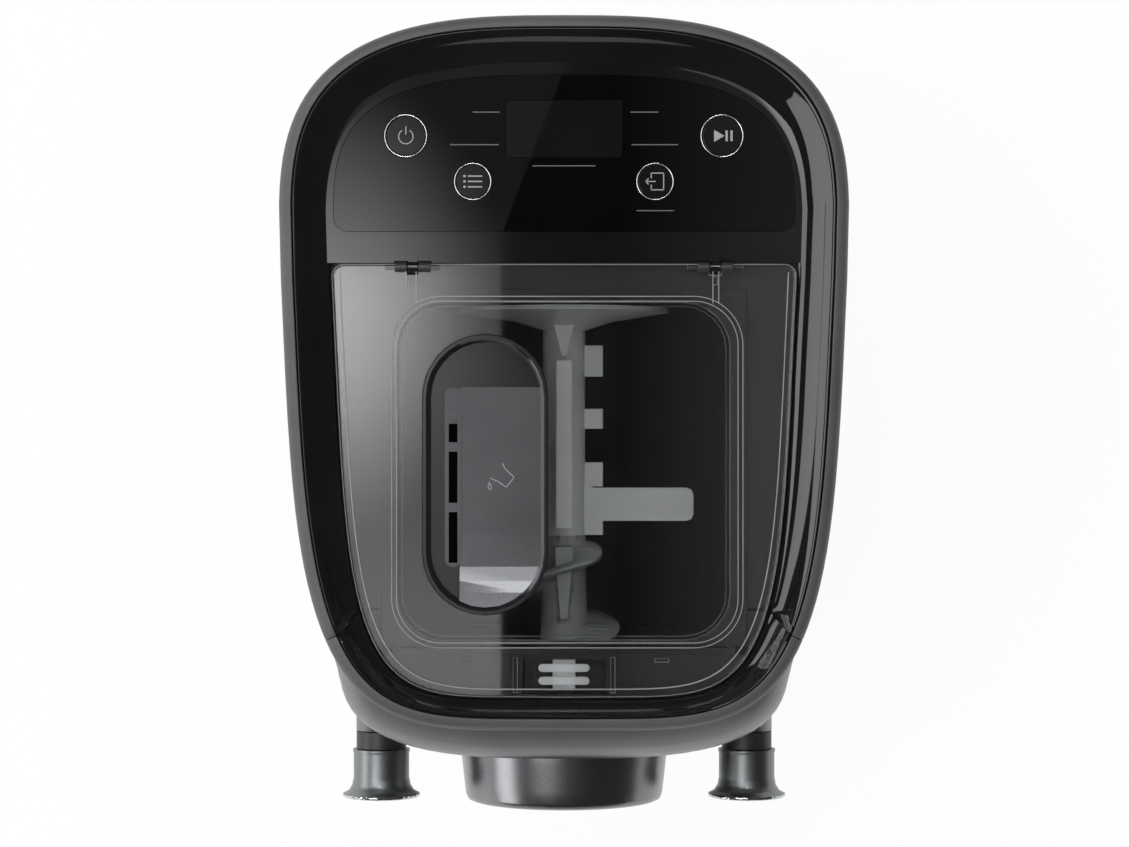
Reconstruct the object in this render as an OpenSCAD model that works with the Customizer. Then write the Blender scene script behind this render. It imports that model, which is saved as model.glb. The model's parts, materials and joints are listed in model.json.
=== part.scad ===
// Electric pasta maker: a table-top kneading and extruding machine.
// +X is the machine's right, -Y its front, where the pasta comes out, and +Z is up.
// The origin is on the table, under the middle of the machine.

/* [Body] */
// Width of the body at its widest line
body_w = 245; // [238:1:257]
// Length of the body behind its widest line
body_rear = 92.7; // [89:0.1:100]
// Length from the chamber's inside end to the body's widest line
rear_reach = 28.9; // [28:0.1:32]
// Length from the rim's front to the chamber
front_reach = 36.3; // [35:0.1:40]
// Height of the top rim above the table
body_h = 295; // [288:1:320]
// Wall of the outer shells
shell_wall = 2.8; // [2:0.1:3.2]
// How far the shells draw in from the rim down to the foot
shell_draft = 7; // [3:0.5:9]
// Width of the matt rim round the top
rim_w = 5.8; // [5:0.1:6.4]
// Height of the rubber feet
foot_h = 6; // [4:0.5:9]
// Thickness of the bottom plate
base_t = 3; // [2:0.1:5]
// How far the locking ring's front face stands in front of the rim
nose_len = 38.7; // [37:0.1:42]
// Gap where the removable front meets the shell
seam = 0.4; // [0.2:0.05:0.8]

/* [Top deck] */
// Depth of the deck below the rim
deck_drop = 10; // [9:0.5:13]
// Thickness of the deck plate
deck_t = 2.8; // [2.4:0.1:3.2]
// Width left between the rim's outside and the control panel
panel_side = 23.3; // [23.3:0.1:30]
// Length of the control panel from its straight edge to its crown
panel_len = 67.3; // [64:0.1:68]
// Thickness of the control panel
panel_t = 2; // [1.6:0.1:2.2]
// Radius of the power and start buttons
big_button_r = 9.4; // [8:0.1:10]
// Radius of the menu and extrude buttons
small_button_r = 8.2; // [7:0.1:9]
// Travel of a button
button_travel = 0.8; // [0.4:0.1:1]
// Width of the display window
display_w = 50; // [40:1:52]
// Length of the display window, front to back
display_l = 24.6; // [18:0.2:25]

/* [Lid] */
// Width left between the rim's outside and the lid, at the sides
lid_inset_side = 21.7; // [20:0.1:23]
// Width left between the rim's outside and the lid, at the front
lid_inset_front = 14.2; // [13:0.1:16]
// Thickness of the clear lid
lid_t = 3; // [2.4:0.1:3.4]
// How far the lid stands above the deck
lid_proud = 2; // [1.5:0.1:2.5]
// Depth of the lid's inner collar
collar_h = 6; // [4:0.2:8]
// Radius of the hinge pins
hinge_pin_r = 1; // [0.8:0.05:1.1]
// Half width of the pouring well, outside
well_r = 27.1; // [24:0.1:28]
// Length of the pouring well, outside
well_len = 121; // [110:1:124]
// Depth of the pouring well below its lip
well_depth = 12; // [9:0.5:12.5]

/* [Mixing chamber] */
// Width between the body's side and the chamber's inside
tub_side = 49.5; // [49:0.1:51.5]
// Inside length of the chamber
tub_len = 149.3; // [148:0.1:150]
// Wall of the chamber
tub_wall = 2.5; // [2:0.1:2.8]
// Depth of the kneading shaft below the rim
shaft_depth = 84; // [82:0.5:90]
// Radius of the kneading shaft's core
core_r = 9.6; // [9:0.1:11]
// Width between the paddles' tips and the chamber
paddle_clear = 14.3; // [13:0.1:20]
// Width of a paddle along the shaft
paddle_w = 15; // [10:0.5:17]
// Thickness of a paddle
paddle_t = 6; // [4:0.5:8]

/* [Extruder] */
// Inside radius of the extruding tube
tube_r = 26.3; // [25:0.1:27]
// Wall of the extruding tube
tube_wall = 3.2; // [2.4:0.1:3.6]
// Running gap between the screw and the tube
screw_gap = 1; // [0.6:0.1:1.4]
// Pitch of the screw's flight
screw_pitch = 37.8; // [32:0.2:42]
// Thickness of the screw's flight
flight_t = 4; // [3:0.2:6]
// Outside radius of the locking ring at its back
ring_r = 47.1; // [44:0.1:47.5]
// How much smaller the locking ring is at its front
ring_taper = 2.5; // [1:0.1:4]
// Radius of the locking ring's mouth
mouth_r = 29.5; // [27:0.1:30.5]
// Thickness of the shaping disc
disc_t = 5.5; // [4:0.1:6]
// Radius of a hole in the shaping disc
die_hole_r = 1.1; // [0.8:0.1:1.4]

/* [Locking knobs] */
// Width between the body's side and each knob's axis
knob_side = 39.4; // [38.5:0.1:39.6]
// Radius of a knob's grip
knob_r = 12.6; // [11.8:0.1:13.5]
// Radius of a knob's flared end
knob_flare_r = 17.5; // [15:0.1:19]
// Length of a knob
knob_len = 21.8; // [20:0.1:23]
// Radius of the knob's threaded stud
stud_r = 4; // [3:0.1:4.2]

/* [Drive] */
// Teeth of the motor's pinion and of the first pinion
pinion_teeth = 12; // [12:1:14]
// Teeth of the first and second wheels
wheel_teeth = 36; // [34:1:36]
// Teeth of the last pinion
last_pinion_teeth = 14; // [13:1:15]
// Teeth of the output wheel
output_teeth = 40; // [38:1:40]
// Tooth module of the first pair
module_one = 1.5; // [1.4:0.05:1.5]
// Tooth module of the second pair
module_two = 1.75; // [1.65:0.05:1.8]
// Tooth module of the last pair
module_three = 2.1; // [2:0.05:2.15]
// Width of the gear teeth
gear_w = 8; // [6:0.5:8.5]
// Radius of the motor's case
motor_r = 28; // [26:0.5:32]
// Length of the motor's case
motor_len = 95; // [80:1:105]
// Radius of the motor's shaft
motor_shaft_r = 2.5; // [2:0.1:3]
// Radius of the output shaft
output_r = 7; // [6:0.1:8]

/* [Hidden] */
$fn = 48;

// Shape of the outline seen from above: squarer at the front than at the back
rear_power = 2.95;
front_power = 4.5;
front_taper = 0.075;
outline_step = 3;

// Running, sliding and resting gaps
run_gap = 0.05;
fit_gap = 0.15;
rest_gap = 0.3;

// Sizes that follow the body's width and the chamber's length
tub_r = body_w / 2 - tub_side;
knob_x = body_w / 2 - knob_side;
panel_half_w = body_w / 2 - panel_side;
paddle_r = tub_r - paddle_clear;
body_front = front_reach + tub_len + rear_reach;

// Places along Y
back_y = (body_rear + body_front + nose_len) / 2;
widest_y = back_y - body_rear;
rim_front_y = widest_y - body_front;
nose_y = rim_front_y - nose_len;
knob_y = nose_y + 1;
tub_front_y = rim_front_y + front_reach;
part_y = tub_front_y + 2.9;
tub_back_y = tub_front_y + tub_len;
plate_y = tub_back_y + tub_wall + 3.2;
plate_t = 3;
gear_one_y = plate_y + plate_t + 2;
gear_two_y = gear_one_y + gear_w + 2;
gear_three_y = gear_two_y + gear_w + 2;
last_gear_w = 1.4 * gear_w;
cover_y = gear_three_y + last_gear_w + 2;
cover_t = 3;
lid_back_y = widest_y - 14;

// Heights
deck_z = body_h - deck_drop;
lid_top = deck_z + lid_proud;
lid_under = lid_top - lid_t;
tray_t = 2;
tray_z = lid_under - 3.5;
axis_z = body_h - shaft_depth;
base_top = foot_h + base_t;
split_z = axis_z - tub_r - 33;
rim_band = 14;

// Centre distances of the three gear pairs, stacked on one upright line
reach_one = (pinion_teeth + wheel_teeth) * module_one / 2;
reach_two = (pinion_teeth + wheel_teeth) * module_two / 2;
reach_three = (last_pinion_teeth + output_teeth) * module_three / 2;
second_z = axis_z - reach_three;
first_z = second_z - reach_two;
motor_z = first_z - reach_one;

// ---------------------------------------------------------------- outline

function spow(v, e) = sign(v) * pow(abs(v), e);

// Outline of the rim seen from above. 0 is the right side, 90 the back, 270 the front.
function outline(t) =
  let (c = cos(t), s = sin(t))
  s >= 0
    ? [body_w / 2 * spow(c, 2 / rear_power), widest_y + body_rear * pow(s, 2 / rear_power)]
    : let (u = pow(-s, 2 / front_power))
      [body_w / 2 * (1 - front_taper * u) * spow(c, 2 / front_power), widest_y - body_front * u];

function along(t) = outline(t + 0.5) - outline(t - 0.5);
function inward(t) = let (d = along(t)) [-d[1], d[0]] / norm(d);
function inset(t, d) = outline(t) + inward(t) * d;
function level(points, z) = [for (p = points) [p[0], p[1], z]];
function mix(a, b, w) = a * (1 - w) + b * w;

// The angle at which the removable front meets the shell, and the places sampled on each side of it,
// in the clockwise order that a loft of wall sections takes
part_t = asin(pow((widest_y - part_y) / body_front, front_power / 2));
seam_t = seam / norm(along(-part_t));
rear_count = round((180 + 2 * part_t) / outline_step);
front_count = round((180 - 2 * part_t) / outline_step);
rear_ts = [for (i = [rear_count:-1:0]) -part_t + i * (180 + 2 * part_t) / rear_count];
front_start = 180 + part_t + seam_t;
front_span = 180 - 2 * (part_t + seam_t);
front_ts = [for (i = [front_count:-1:0]) front_start + i * front_span / front_count];
all_ts = [for (t = [0:outline_step:359]) t];

function draft_at(z) = shell_draft * max(0, body_h - rim_band - z) / (body_h - rim_band - foot_h);
function wall_section(t, profile) = [for (p = profile) let (q = inset(t, p[0])) [q[0], q[1], p[1]]];

// Inner edge of the slope round the deck, moved in by d. The lid follows it, with a squarer front than the rim.
lid_power = 5.6;
lid_taper = 0.092;
lid_lag = 1.195;
function edge_curve(t, d) =
  let (c = cos(t), s = sin(t), w = body_w / 2 - lid_inset_side - d)
  s >= 0
    ? [w * spow(c, 2 / rear_power), widest_y + (body_rear - lid_inset_side - d) * pow(s, 2 / rear_power)]
    : let (u = pow(-s, 2 / lid_power))
      [w * (1 - lid_taper * u) * spow(c, 2 / lid_power), widest_y - (body_front - lid_inset_front - d) * u];

// The place on the inner edge that lies straight in from the rim at t
function facing(t) =
  sin(t) >= 0 ? t
  : cos(t) >= 0 ? -90 * pow(-(t > 180 ? t - 360 : t) / 90, lid_lag)
  : 180 + 90 * pow((t - 180) / 90, lid_lag);
function across(t, w) = mix(inset(t, bezel_start), edge_curve(facing(t), -lid_gap), w);

// Triangles over a section's end, laid like a ladder's rungs between point j and point m - 1 - j, so a
// wall's section lists its outer side first and its inner side back again, with as many points
function rungs(m) = [
  for (j = [0:ceil(m / 2) - 2]) each concat(j + 1 < m - 2 - j ? [[j, j + 1, m - 2 - j]] : [], [[j, m - 2 - j, m - 1 - j]])
];

// A closed solid through sections that all have the same number of points
module skin(sections, looped = false) {
  m = len(sections[0]);
  n = len(sections);
  last = (n - 1) * m;
  sides = [
    for (i = [0:looped ? n - 1 : n - 2], j = [0:m - 1])
      let (a = i * m + j, b = i * m + (j + 1) % m, k = (i + 1) % n, c = k * m + (j + 1) % m, d = k * m + j)
        each [[a, c, b], [a, d, c]]
  ];
  ends = looped ? [] : concat(rungs(m), [for (f = rungs(m)) [last + f[2], last + f[1], last + f[0]]]);
  polyhedron([for (s = sections) each s], concat(sides, ends), convexity = 10);
}

module slab(points, z0, z1) {
  translate([0, 0, z0]) linear_extrude(z1 - z0) polygon(points);
}

module block(x0, x1, y0, y1, z0, z1) {
  translate([x0, y0, z0]) cube([x1 - x0, y1 - y0, z1 - z0]);
}

// A round bar along Y, and one along X
module bar_y(r, y0, y1, x = 0, z = 0) {
  translate([x, y0, z]) rotate([-90, 0, 0]) cylinder(r = r, h = y1 - y0);
}

module bar_x(r, x0, x1, y, z) {
  translate([x0, y, z]) rotate([0, 90, 0]) cylinder(r = r, h = x1 - x0);
}

module bar_z(r, z0, z1, x, y) {
  translate([x, y, z0]) cylinder(r = r, h = z1 - z0);
}

// A turned piece on an axis along Y. Each point is [radius, y].
module turned(points, x = 0, z = 0) {
  translate([x, 0, z]) rotate([-90, 0, 0]) rotate_extrude() polygon(points);
}

module sleeve(inner, outer, y0, y1, x = 0, z = 0) {
  turned([[inner, y0], [outer, y0], [outer, y1], [inner, y1]], x, z);
}

// Points of a rounded rectangle, and of a slot with round ends along Y
function arc(x, y, r, a0, a1, steps) = [for (i = [0:steps]) let (a = a0 + (a1 - a0) * i / steps) [x + r * cos(a), y + r * sin(a)]];
function rounded(x0, x1, y0, y1, r) = concat(
  arc(x1 - r, y1 - r, r, 0, 90, 6), arc(x0 + r, y1 - r, r, 90, 180, 6),
  arc(x0 + r, y0 + r, r, 180, 270, 6), arc(x1 - r, y0 + r, r, 270, 360, 6)
);
function slot_points(x, y, r, half_len, steps = 12) =
  concat(arc(x, y + half_len, r, 0, 180, steps), arc(x, y - half_len, r, 180, 360, steps));

// ---------------------------------------------------------------- base

base_edge = draft_at(foot_h) + 4 + shell_wall + fit_gap;
foot_r = 13;
rear_foot_x = body_w / 2 - 44.5;
front_foot_x = body_w / 2 - 60.5;
foot_places = [for (s = [-1, 1]) each [[s * rear_foot_x, widest_y + 38], [s * front_foot_x, part_y + 8]]];

leg_screw_x = 56;
leg_screw_places = [for (s = [-1, 1], y = [part_y + 22, plate_y - 14]) [s * leg_screw_x, y]];
screw_r = 2;
vent_w = 3.2;

module base_plate() {
  color("#202122")
    difference() {
      union() {
        slab([for (t = all_ts) inset(t, base_edge)], foot_h, base_top);
        for (p = foot_places)
          bar_z(foot_r + 2, foot_h, base_top + 1, p[0], p[1]);
      }
      for (p = foot_places)
        bar_z(5.2, foot_h - 1, base_top + 2, p[0], p[1]);
      for (p = leg_screw_places) {
        bar_z(screw_r + fit_gap, foot_h - 1, base_top + 1, p[0], p[1]);
        bar_z(4.2, foot_h - 1, foot_h + 1.6, p[0], p[1]);
      }
      for (i = [-4:4])
        block(i * 7 - vent_w / 2, i * 7 + vent_w / 2, rim_front_y + 62, rim_front_y + 92, foot_h - 1, base_top + 1);
    }
}

module feet() {
  color("#1b1b1c")
    for (p = foot_places)
      translate([p[0], p[1], 0])
        rotate_extrude()
          polygon([[0, 0], [foot_r - 1.5, 0], [foot_r - 0.6, 1], [foot_r, foot_h], [5, foot_h],
                   [5, base_top + 1 - fit_gap], [0, base_top + 1 - fit_gap]]);
}

// Weighing cells, one on the stem of each foot
module load_cells() {
  color("#b9bcc0")
    for (p = foot_places)
      difference() {
        block(p[0] - 15, p[0] + 15, p[1] - 6, p[1] + 6, base_top + 1, base_top + 5);
        bar_z(4, base_top + 2.5, base_top + 6, p[0] - 6, p[1]);
        bar_z(4, base_top + 2.5, base_top + 6, p[0] + 6, p[1]);
      }
}

// ---------------------------------------------------------------- outer shells

gland_z = foot_h + 34;
gland_r = 3.6;
vent_count = 11;

shell_foot = [
  [draft_at(foot_h) + 4, foot_h], [draft_at(foot_h) + 0.8, foot_h + 4], [draft_at(foot_h + 9), foot_h + 9]
];
shell_inside_foot = [for (i = [2:-1:0]) shell_foot[i] + [shell_wall, 0]];
rim_crown = [
  [0, body_h - rim_band], [0.25, body_h - 5.5], [1.1, body_h - 2.2], [2.6, body_h - 0.5],
  [rim_w - 0.4, body_h], [rim_w, body_h - 0.4], [rim_w, body_h - 6], [shell_wall, body_h - rim_band + 1]
];

module housing() {
  color("#3b3c3d")
    difference() {
      skin([
        for (t = rear_ts)
          wall_section(t, concat(shell_foot, rim_crown, shell_inside_foot))
      ]);
      for (i = [0:vent_count - 1], s = [0, 1])
        let (x = (i - (vent_count - 1) / 2) * 8)
          block(x - vent_w / 2, x + vent_w / 2, back_y - 30, back_y + 5, 70 + s * 44, 106 + s * 44);
      bar_y(gland_r + 3 + fit_gap, back_y - 30, back_y + 5, 0, gland_z);
    }
}

gland_wall_y = back_y - draft_at(gland_z);
module cord_gland() {
  color("#1b1b1c")
    turned([[gland_r, gland_wall_y - 7], [gland_r + 3, gland_wall_y - 7], [gland_r + 3, gland_wall_y + 0.3],
            [gland_r + 5.4, gland_wall_y + 0.3], [gland_r + 5, gland_wall_y + 2.4], [gland_r, gland_wall_y + 2.4]],
           0, gland_z);
}

module front_cover() {
  top_inset = draft_at(split_z);
  color("#333435")
    skin([
      for (t = front_ts)
        wall_section(t, concat(shell_foot,
          [[top_inset, split_z], [top_inset + 14, split_z], [top_inset + 14, split_z - 2.5],
           [top_inset + shell_wall, split_z - 2.5]], shell_inside_foot))
    ]);
}

// ---------------------------------------------------------------- chassis

cradle_r = tub_r + tub_wall + 0.4;
cradle_t = 2.5;
frame_y = part_y + 3.2;
frame_t = 4;
frame_top = tray_z - tray_t - 0.5;
wall_x = 45;

module chassis() {
  color("#2c2d2e")
    difference() {
      union() {
        block(-knob_x - 4.9, knob_x + 4.9, frame_y, frame_y + frame_t, split_z, frame_top);
        block(-70, 70, frame_y, frame_y + frame_t, base_top, split_z);
        for (s = [-1, 1]) {
          block(s * wall_x - 1.5, s * wall_x + 1.5, frame_y, plate_y, base_top, axis_z - 50);
          bar_y(7, frame_y - 1.5, frame_y + 12, s * knob_x, axis_z);
          for (p = leg_screw_places)
            if (p[0] * s > 0)
              block(min(s * wall_x, p[0] + s * 7), max(s * wall_x, p[0] + s * 7), p[1] - 8, p[1] + 8, base_top, base_top + 10);
        }
        intersection() {
          sleeve(cradle_r, cradle_r + cradle_t, frame_y, plate_y, 0, axis_z);
          block(-cradle_r, cradle_r, frame_y, plate_y, split_z, axis_z - 25);
        }
      }
      bar_y(cradle_r, frame_y - 5, plate_y + 5, 0, axis_z);
      block(-cradle_r, cradle_r, frame_y - 5, frame_y + 20, axis_z, body_h);
      block(-30, 30, frame_y - 1, frame_y + frame_t + 1, motor_z - 30, motor_z + 30);
      for (s = [-1, 1])
        bar_y(stud_r + 1.5 + run_gap, frame_y - 5, frame_y + 20, s * knob_x, axis_z);
      for (p = leg_screw_places)
        bar_z(screw_r + run_gap, base_top - 1, base_top + 9, p[0], p[1]);
      for (p = foot_places)
        block(p[0] - foot_r - 2.5, p[0] + foot_r + 2.5, p[1] - foot_r - 2.5, p[1] + foot_r + 2.5, base_top - 1, base_top + 5.5);
    }
}

// Threaded brass sleeves that take the knobs' studs
module knob_inserts() {
  color("#b08d3f")
    for (s = [-1, 1])
      sleeve(stud_r + run_gap, stud_r + 1.5, frame_y - 2, frame_y + 11, s * knob_x, axis_z);
}

// ---------------------------------------------------------------- gear train

pressure = 25;
slack = 0.1;

function involute(a) = tan(a) - a * PI / 180;
// Half the angle that a tooth takes up at radius r
function half_tooth(teeth, m, r) =
  let (base = teeth * m / 2 * cos(pressure), a = r > base ? acos(base / r) : 0)
  90 / teeth - slack / (teeth * m / 2) * 180 / PI / 2 + (involute(pressure) - involute(a)) * 180 / PI;

function gear_points(teeth, m, phase) =
  let (
    pitch = teeth * m / 2,
    radii = [pitch - 1.25 * m, max(pitch * cos(pressure), pitch - 0.9 * m), pitch, pitch + 0.9 * m]
  )
  [
    for (i = [0:teeth - 1])
      let (mid = 90 + phase + i * 360 / teeth)
        each concat(
          [for (r = radii) let (a = mid - half_tooth(teeth, m, r)) [r * cos(a), r * sin(a)]],
          [for (k = [3:-1:0]) let (r = radii[k], a = mid + half_tooth(teeth, m, r)) [r * cos(a), r * sin(a)]]
        )
  ];

// A toothed ring on an axis along Y, with a tooth at the top when phase is 0
module toothed(teeth, m, y0, y1, z, phase, bore) {
  translate([0, y1, z]) rotate([90, 0, 0])
    difference() {
      linear_extrude(y1 - y0) polygon(gear_points(teeth, m, phase));
      translate([0, 0, -1]) cylinder(r = bore, h = y1 - y0 + 2);
    }
}

// A gear above its driver has a gap at the bottom, where the driver has a tooth
function phase_above(teeth) = teeth % 2 == 0 ? 180 / teeth : 0;

axle_r = 3;

// A wheel and a smaller pinion on one hub
module compound(z, wheel_m, wheel_y, pinion_n, pinion_m, pinion_y, pinion_w) {
  toothed(wheel_teeth, wheel_m, wheel_y, wheel_y + gear_w, z, phase_above(wheel_teeth), axle_r + run_gap);
  sleeve(axle_r + run_gap, pinion_n * pinion_m / 2 - 1.25 * pinion_m, wheel_y + gear_w - 1, pinion_y + 1, 0, z);
  toothed(pinion_n, pinion_m, pinion_y, pinion_y + pinion_w, z, 0, axle_r + run_gap);
}

module first_gear() {
  color("#d8d3c4") compound(first_z, module_one, gear_one_y, pinion_teeth, module_two, gear_two_y, gear_w);
}

module second_gear() {
  color("#d8d3c4")
    compound(second_z, module_two, gear_two_y, last_pinion_teeth, module_three, gear_three_y, last_gear_w);
}

module output_gear() {
  color("#8f9296") {
    toothed(output_teeth, module_three, gear_three_y, gear_three_y + last_gear_w, axis_z,
            phase_above(output_teeth), output_r + run_gap / 2);
    sleeve(output_r + run_gap / 2, output_r + 6, gear_three_y - 10, gear_three_y + 1, 0, axis_z);
  }
}

bearing_t = 5;
output_bearing_r = output_r + 6;
motor_bearing_r = motor_shaft_r + 3.5;
motor_y = plate_y - motor_len;
motor_wall = 2;

module bearings() {
  color("#a9acb0") {
    sleeve(output_r + run_gap, output_bearing_r, plate_y - 1, plate_y - 1 + bearing_t, 0, axis_z);
    sleeve(output_r + run_gap, output_bearing_r, cover_y, cover_y + bearing_t, 0, axis_z);
    sleeve(motor_shaft_r + run_gap, motor_bearing_r, motor_y + 0.1, motor_y + bearing_t - 0.1, 0, motor_z);
    sleeve(motor_shaft_r + run_gap, motor_bearing_r, plate_y - bearing_t, plate_y - 0.2, 0, motor_z);
  }
}

gear_room = 2.4;
function tip(teeth, m) = teeth * m / 2 + m;
casing_rings = [
  [tip(output_teeth, module_three), axis_z], [tip(wheel_teeth, module_two), second_z],
  [tip(wheel_teeth, module_one), first_z], [tip(pinion_teeth, module_one), motor_z]
];
casing_tabs = [
  [-1, axis_z + 20], [1, axis_z + 20], [-1, second_z - 8], [1, second_z - 8], [-1, first_z - 14], [1, first_z - 14]
];
// Distance from the middle at which a tab stands on its casing ring
function tab_x(i) =
  let (ring = casing_rings[floor(i / 2)], dz = casing_tabs[i][1] - ring[1], r = ring[0] + gear_room + cover_t + 3)
  casing_tabs[i][0] * sqrt(r * r - dz * dz);

plate_half_w = tip(output_teeth, module_three) + gear_room + cover_t + 12.5;
module gearbox_plate() {
  color("#8d9094")
    difference() {
      block(-plate_half_w, plate_half_w, plate_y, plate_y + plate_t, base_top, frame_top);
      bar_y(output_bearing_r + run_gap, plate_y - 1, plate_y + plate_t + 1, 0, axis_z);
      bar_y(motor_shaft_r + 2, plate_y - 1, plate_y + plate_t + 1, 0, motor_z);
      for (z = [first_z, second_z])
        bar_y(axle_r + run_gap / 2, plate_y - 1, plate_y + plate_t + 1, 0, z);
      for (i = [0:5])
        bar_y(1.6, plate_y - 1, plate_y + plate_t + 1, tab_x(i), casing_tabs[i][1]);
    }
}

board_y = cover_y + cover_t + 12;
board_posts = [for (s = [-1, 1], z = [second_z + 14, first_z - 12]) [s * 20, z]];

module gearbox_cover() {
  y0 = plate_y + plate_t + 0.1;
  y1 = cover_y + cover_t;
  color("#5d6063")
    difference() {
      union() {
        for (c = casing_rings)
          bar_y(c[0] + gear_room + cover_t, y0, y1, 0, c[1]);
        bar_y(output_bearing_r + 3, cover_y, cover_y + bearing_t, 0, axis_z);
        for (i = [0:5])
          bar_y(4.5, y0, y0 + 5, tab_x(i), casing_tabs[i][1]);
        for (p = board_posts)
          bar_y(3, y1 - 1, board_y, p[0], p[1]);
      }
      for (c = casing_rings)
        bar_y(c[0] + gear_room, y0 - 1, cover_y, 0, c[1]);
      bar_y(output_bearing_r + run_gap, cover_y - 1, y1 + 5, 0, axis_z);
      for (z = [first_z, second_z])
        bar_y(axle_r + run_gap / 2, cover_y - 1, y1 + 1, 0, z);
      for (i = [0:5])
        bar_y(1.6, y0 - 1, y0 + 8, tab_x(i), casing_tabs[i][1]);
    }
}

module gear_axles() {
  color("#c2c5c8")
    for (z = [first_z, second_z])
      bar_y(axle_r, plate_y + 0.2, cover_y + cover_t - 0.2, 0, z);
}

// Screws: four up through the bottom plate, six that hold the gearbox's cover
module screws() {
  color("#9a9da1") {
    for (p = leg_screw_places) {
      bar_z(3.9, foot_h, foot_h + 1.5, p[0], p[1]);
      bar_z(screw_r, foot_h + 1.4, base_top + 8, p[0], p[1]);
    }
    for (i = [0:5]) {
      bar_y(1.5, plate_y + 0.5, plate_y + plate_t + 6, tab_x(i), casing_tabs[i][1]);
      bar_y(3, plate_y + plate_t + 5.2, plate_y + plate_t + 7, tab_x(i), casing_tabs[i][1]);
    }
  }
}

// ---------------------------------------------------------------- motor

armature_r = 14.5;
magnet_r = armature_r + 1;
fan_y = motor_y - 14;
fan_r = 27;

module motor_case() {
  color("#6f7377")
    difference() {
      turned([[motor_bearing_r + run_gap, motor_y], [motor_r, motor_y], [motor_r, plate_y - 0.1],
              [motor_bearing_r + run_gap, plate_y - 0.1], [motor_bearing_r + run_gap, plate_y - bearing_t],
              [motor_r - motor_wall, plate_y - bearing_t], [motor_r - motor_wall, motor_y + bearing_t],
              [motor_bearing_r + run_gap, motor_y + bearing_t]], 0, motor_z);
      for (a = [0:60:300])
        translate([0, motor_y, motor_z]) rotate([0, a, 0])
          block(12, 20, -1, bearing_t + 1, -2.5, 2.5);
    }
}

module motor_magnets() {
  color("#3a3a3c")
    difference() {
      sleeve(magnet_r, motor_r - motor_wall - 0.1, motor_y + 20, plate_y - 18, 0, motor_z);
      block(-6, 6, motor_y, plate_y, motor_z - motor_r, motor_z + motor_r);
    }
}

module motor_shaft() {
  color("#c2c5c8") bar_y(motor_shaft_r, fan_y - 2, gear_one_y + gear_w + 1, 0, motor_z);
}

module motor_armature() {
  color("#9b5a2e")
    difference() {
      sleeve(motor_shaft_r + run_gap / 2, armature_r, motor_y + 24, plate_y - 22, 0, motor_z);
      for (a = [0:45:315])
        translate([0, motor_y + 20, motor_z]) rotate([0, a, 0])
          block(8, armature_r + 1, 0, motor_len - 30, -1.2, 1.2);
    }
}

module motor_pinion() {
  color("#c2c5c8")
    toothed(pinion_teeth, module_one, gear_one_y, gear_one_y + gear_w, motor_z, 0, motor_shaft_r + run_gap / 2);
}

module motor_fan() {
  color("#4a4c4e") {
    sleeve(motor_shaft_r + run_gap / 2, 8, fan_y, fan_y + 10, 0, motor_z);
    for (a = [0:360 / 7:359])
      translate([0, fan_y + 5, motor_z]) rotate([0, a, 0]) rotate([28, 0, 0])
        block(6.5, fan_r, -4, 4, -1, 1);
  }
}

// ---------------------------------------------------------------- boards and switches

control_z = deck_z - 14;
control_t = 1.6;

module power_board() {
  color("#1d5b3a") block(-56, 56, board_y, board_y + 1.6, first_z - 22, second_z + 24);
  color("#2a2a2c") {
    block(-50, -22, board_y + 1.6, board_y + 22, first_z - 6, first_z + 22);
    bar_y(8, board_y + 1.6, board_y + 28, 34, first_z + 4);
    bar_y(8, board_y + 1.6, board_y + 28, 34, first_z + 24);
  }
  color("#a9acb0")
    for (i = [0:4])
      block(-12 + i * 5, -10.4 + i * 5, board_y + 1.6, board_y + 20, second_z - 12, second_z + 16);
}

module control_board() {
  color("#1d5b3a") slab(rounded(-80, 80, button_row_y - 12, panel_crown_y - 16, 6), control_z, control_z + control_t);
  color("#c2c5c8")
    for (b = buttons)
      bar_z(3, control_z + control_t, control_z + control_t + 3.6, b[0], b[1]);
  color("#2a2a2c") bar_z(6, control_z - 5, control_z, -60, button_row_y + 2);
}

ribbon_t = 0.8;
ribbon_x = 30;
function ribbon_line(side) = [
  for (i = [0:12])
    let (u = i / 12, y = mix(button_row_y + 2, board_y + 3.4, u * u * (3 - 2 * u)), z = mix(control_z, second_z + 26, u))
      [y + side * ribbon_t / 2, z]
];

// Flat cable from the control board down to the power board
module ribbon_cable() {
  color("#b9b6ae")
    translate([ribbon_x - 9, 0, 0]) rotate([90, 0, 90]) linear_extrude(18)
      polygon(concat(ribbon_line(-1), [for (i = [12:-1:0]) ribbon_line(1)[i]]));
}

// One switch senses the closed lid, the other the fitted front
module safety_switches() {
  color("#2a2a2c") {
    block(26, 46, plate_y + plate_t + 1, plate_y + plate_t + 8, tray_z - tray_t - 11, tray_z - tray_t);
    block(-knob_x - 2.9, -knob_x + 4.1, frame_y + frame_t, frame_y + frame_t + 18, split_z + 12, split_z + 22);
  }
}

// ---------------------------------------------------------------- top deck

panel_y = widest_y;
panel_power = 3.1;
panel_corner = 6;
panel_crown_y = panel_y + panel_len;
button_row_y = panel_crown_y - 45.8;
// Each button: x, y, outside radius of its ring
buttons = [
  [-68, button_row_y + 19.6, big_button_r], [-39.2, button_row_y, small_button_r],
  [39.2, button_row_y, small_button_r], [68, button_row_y + 19.6, big_button_r]
];
ring_w = 0.7;
display_y = button_row_y + 22.6;

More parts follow.
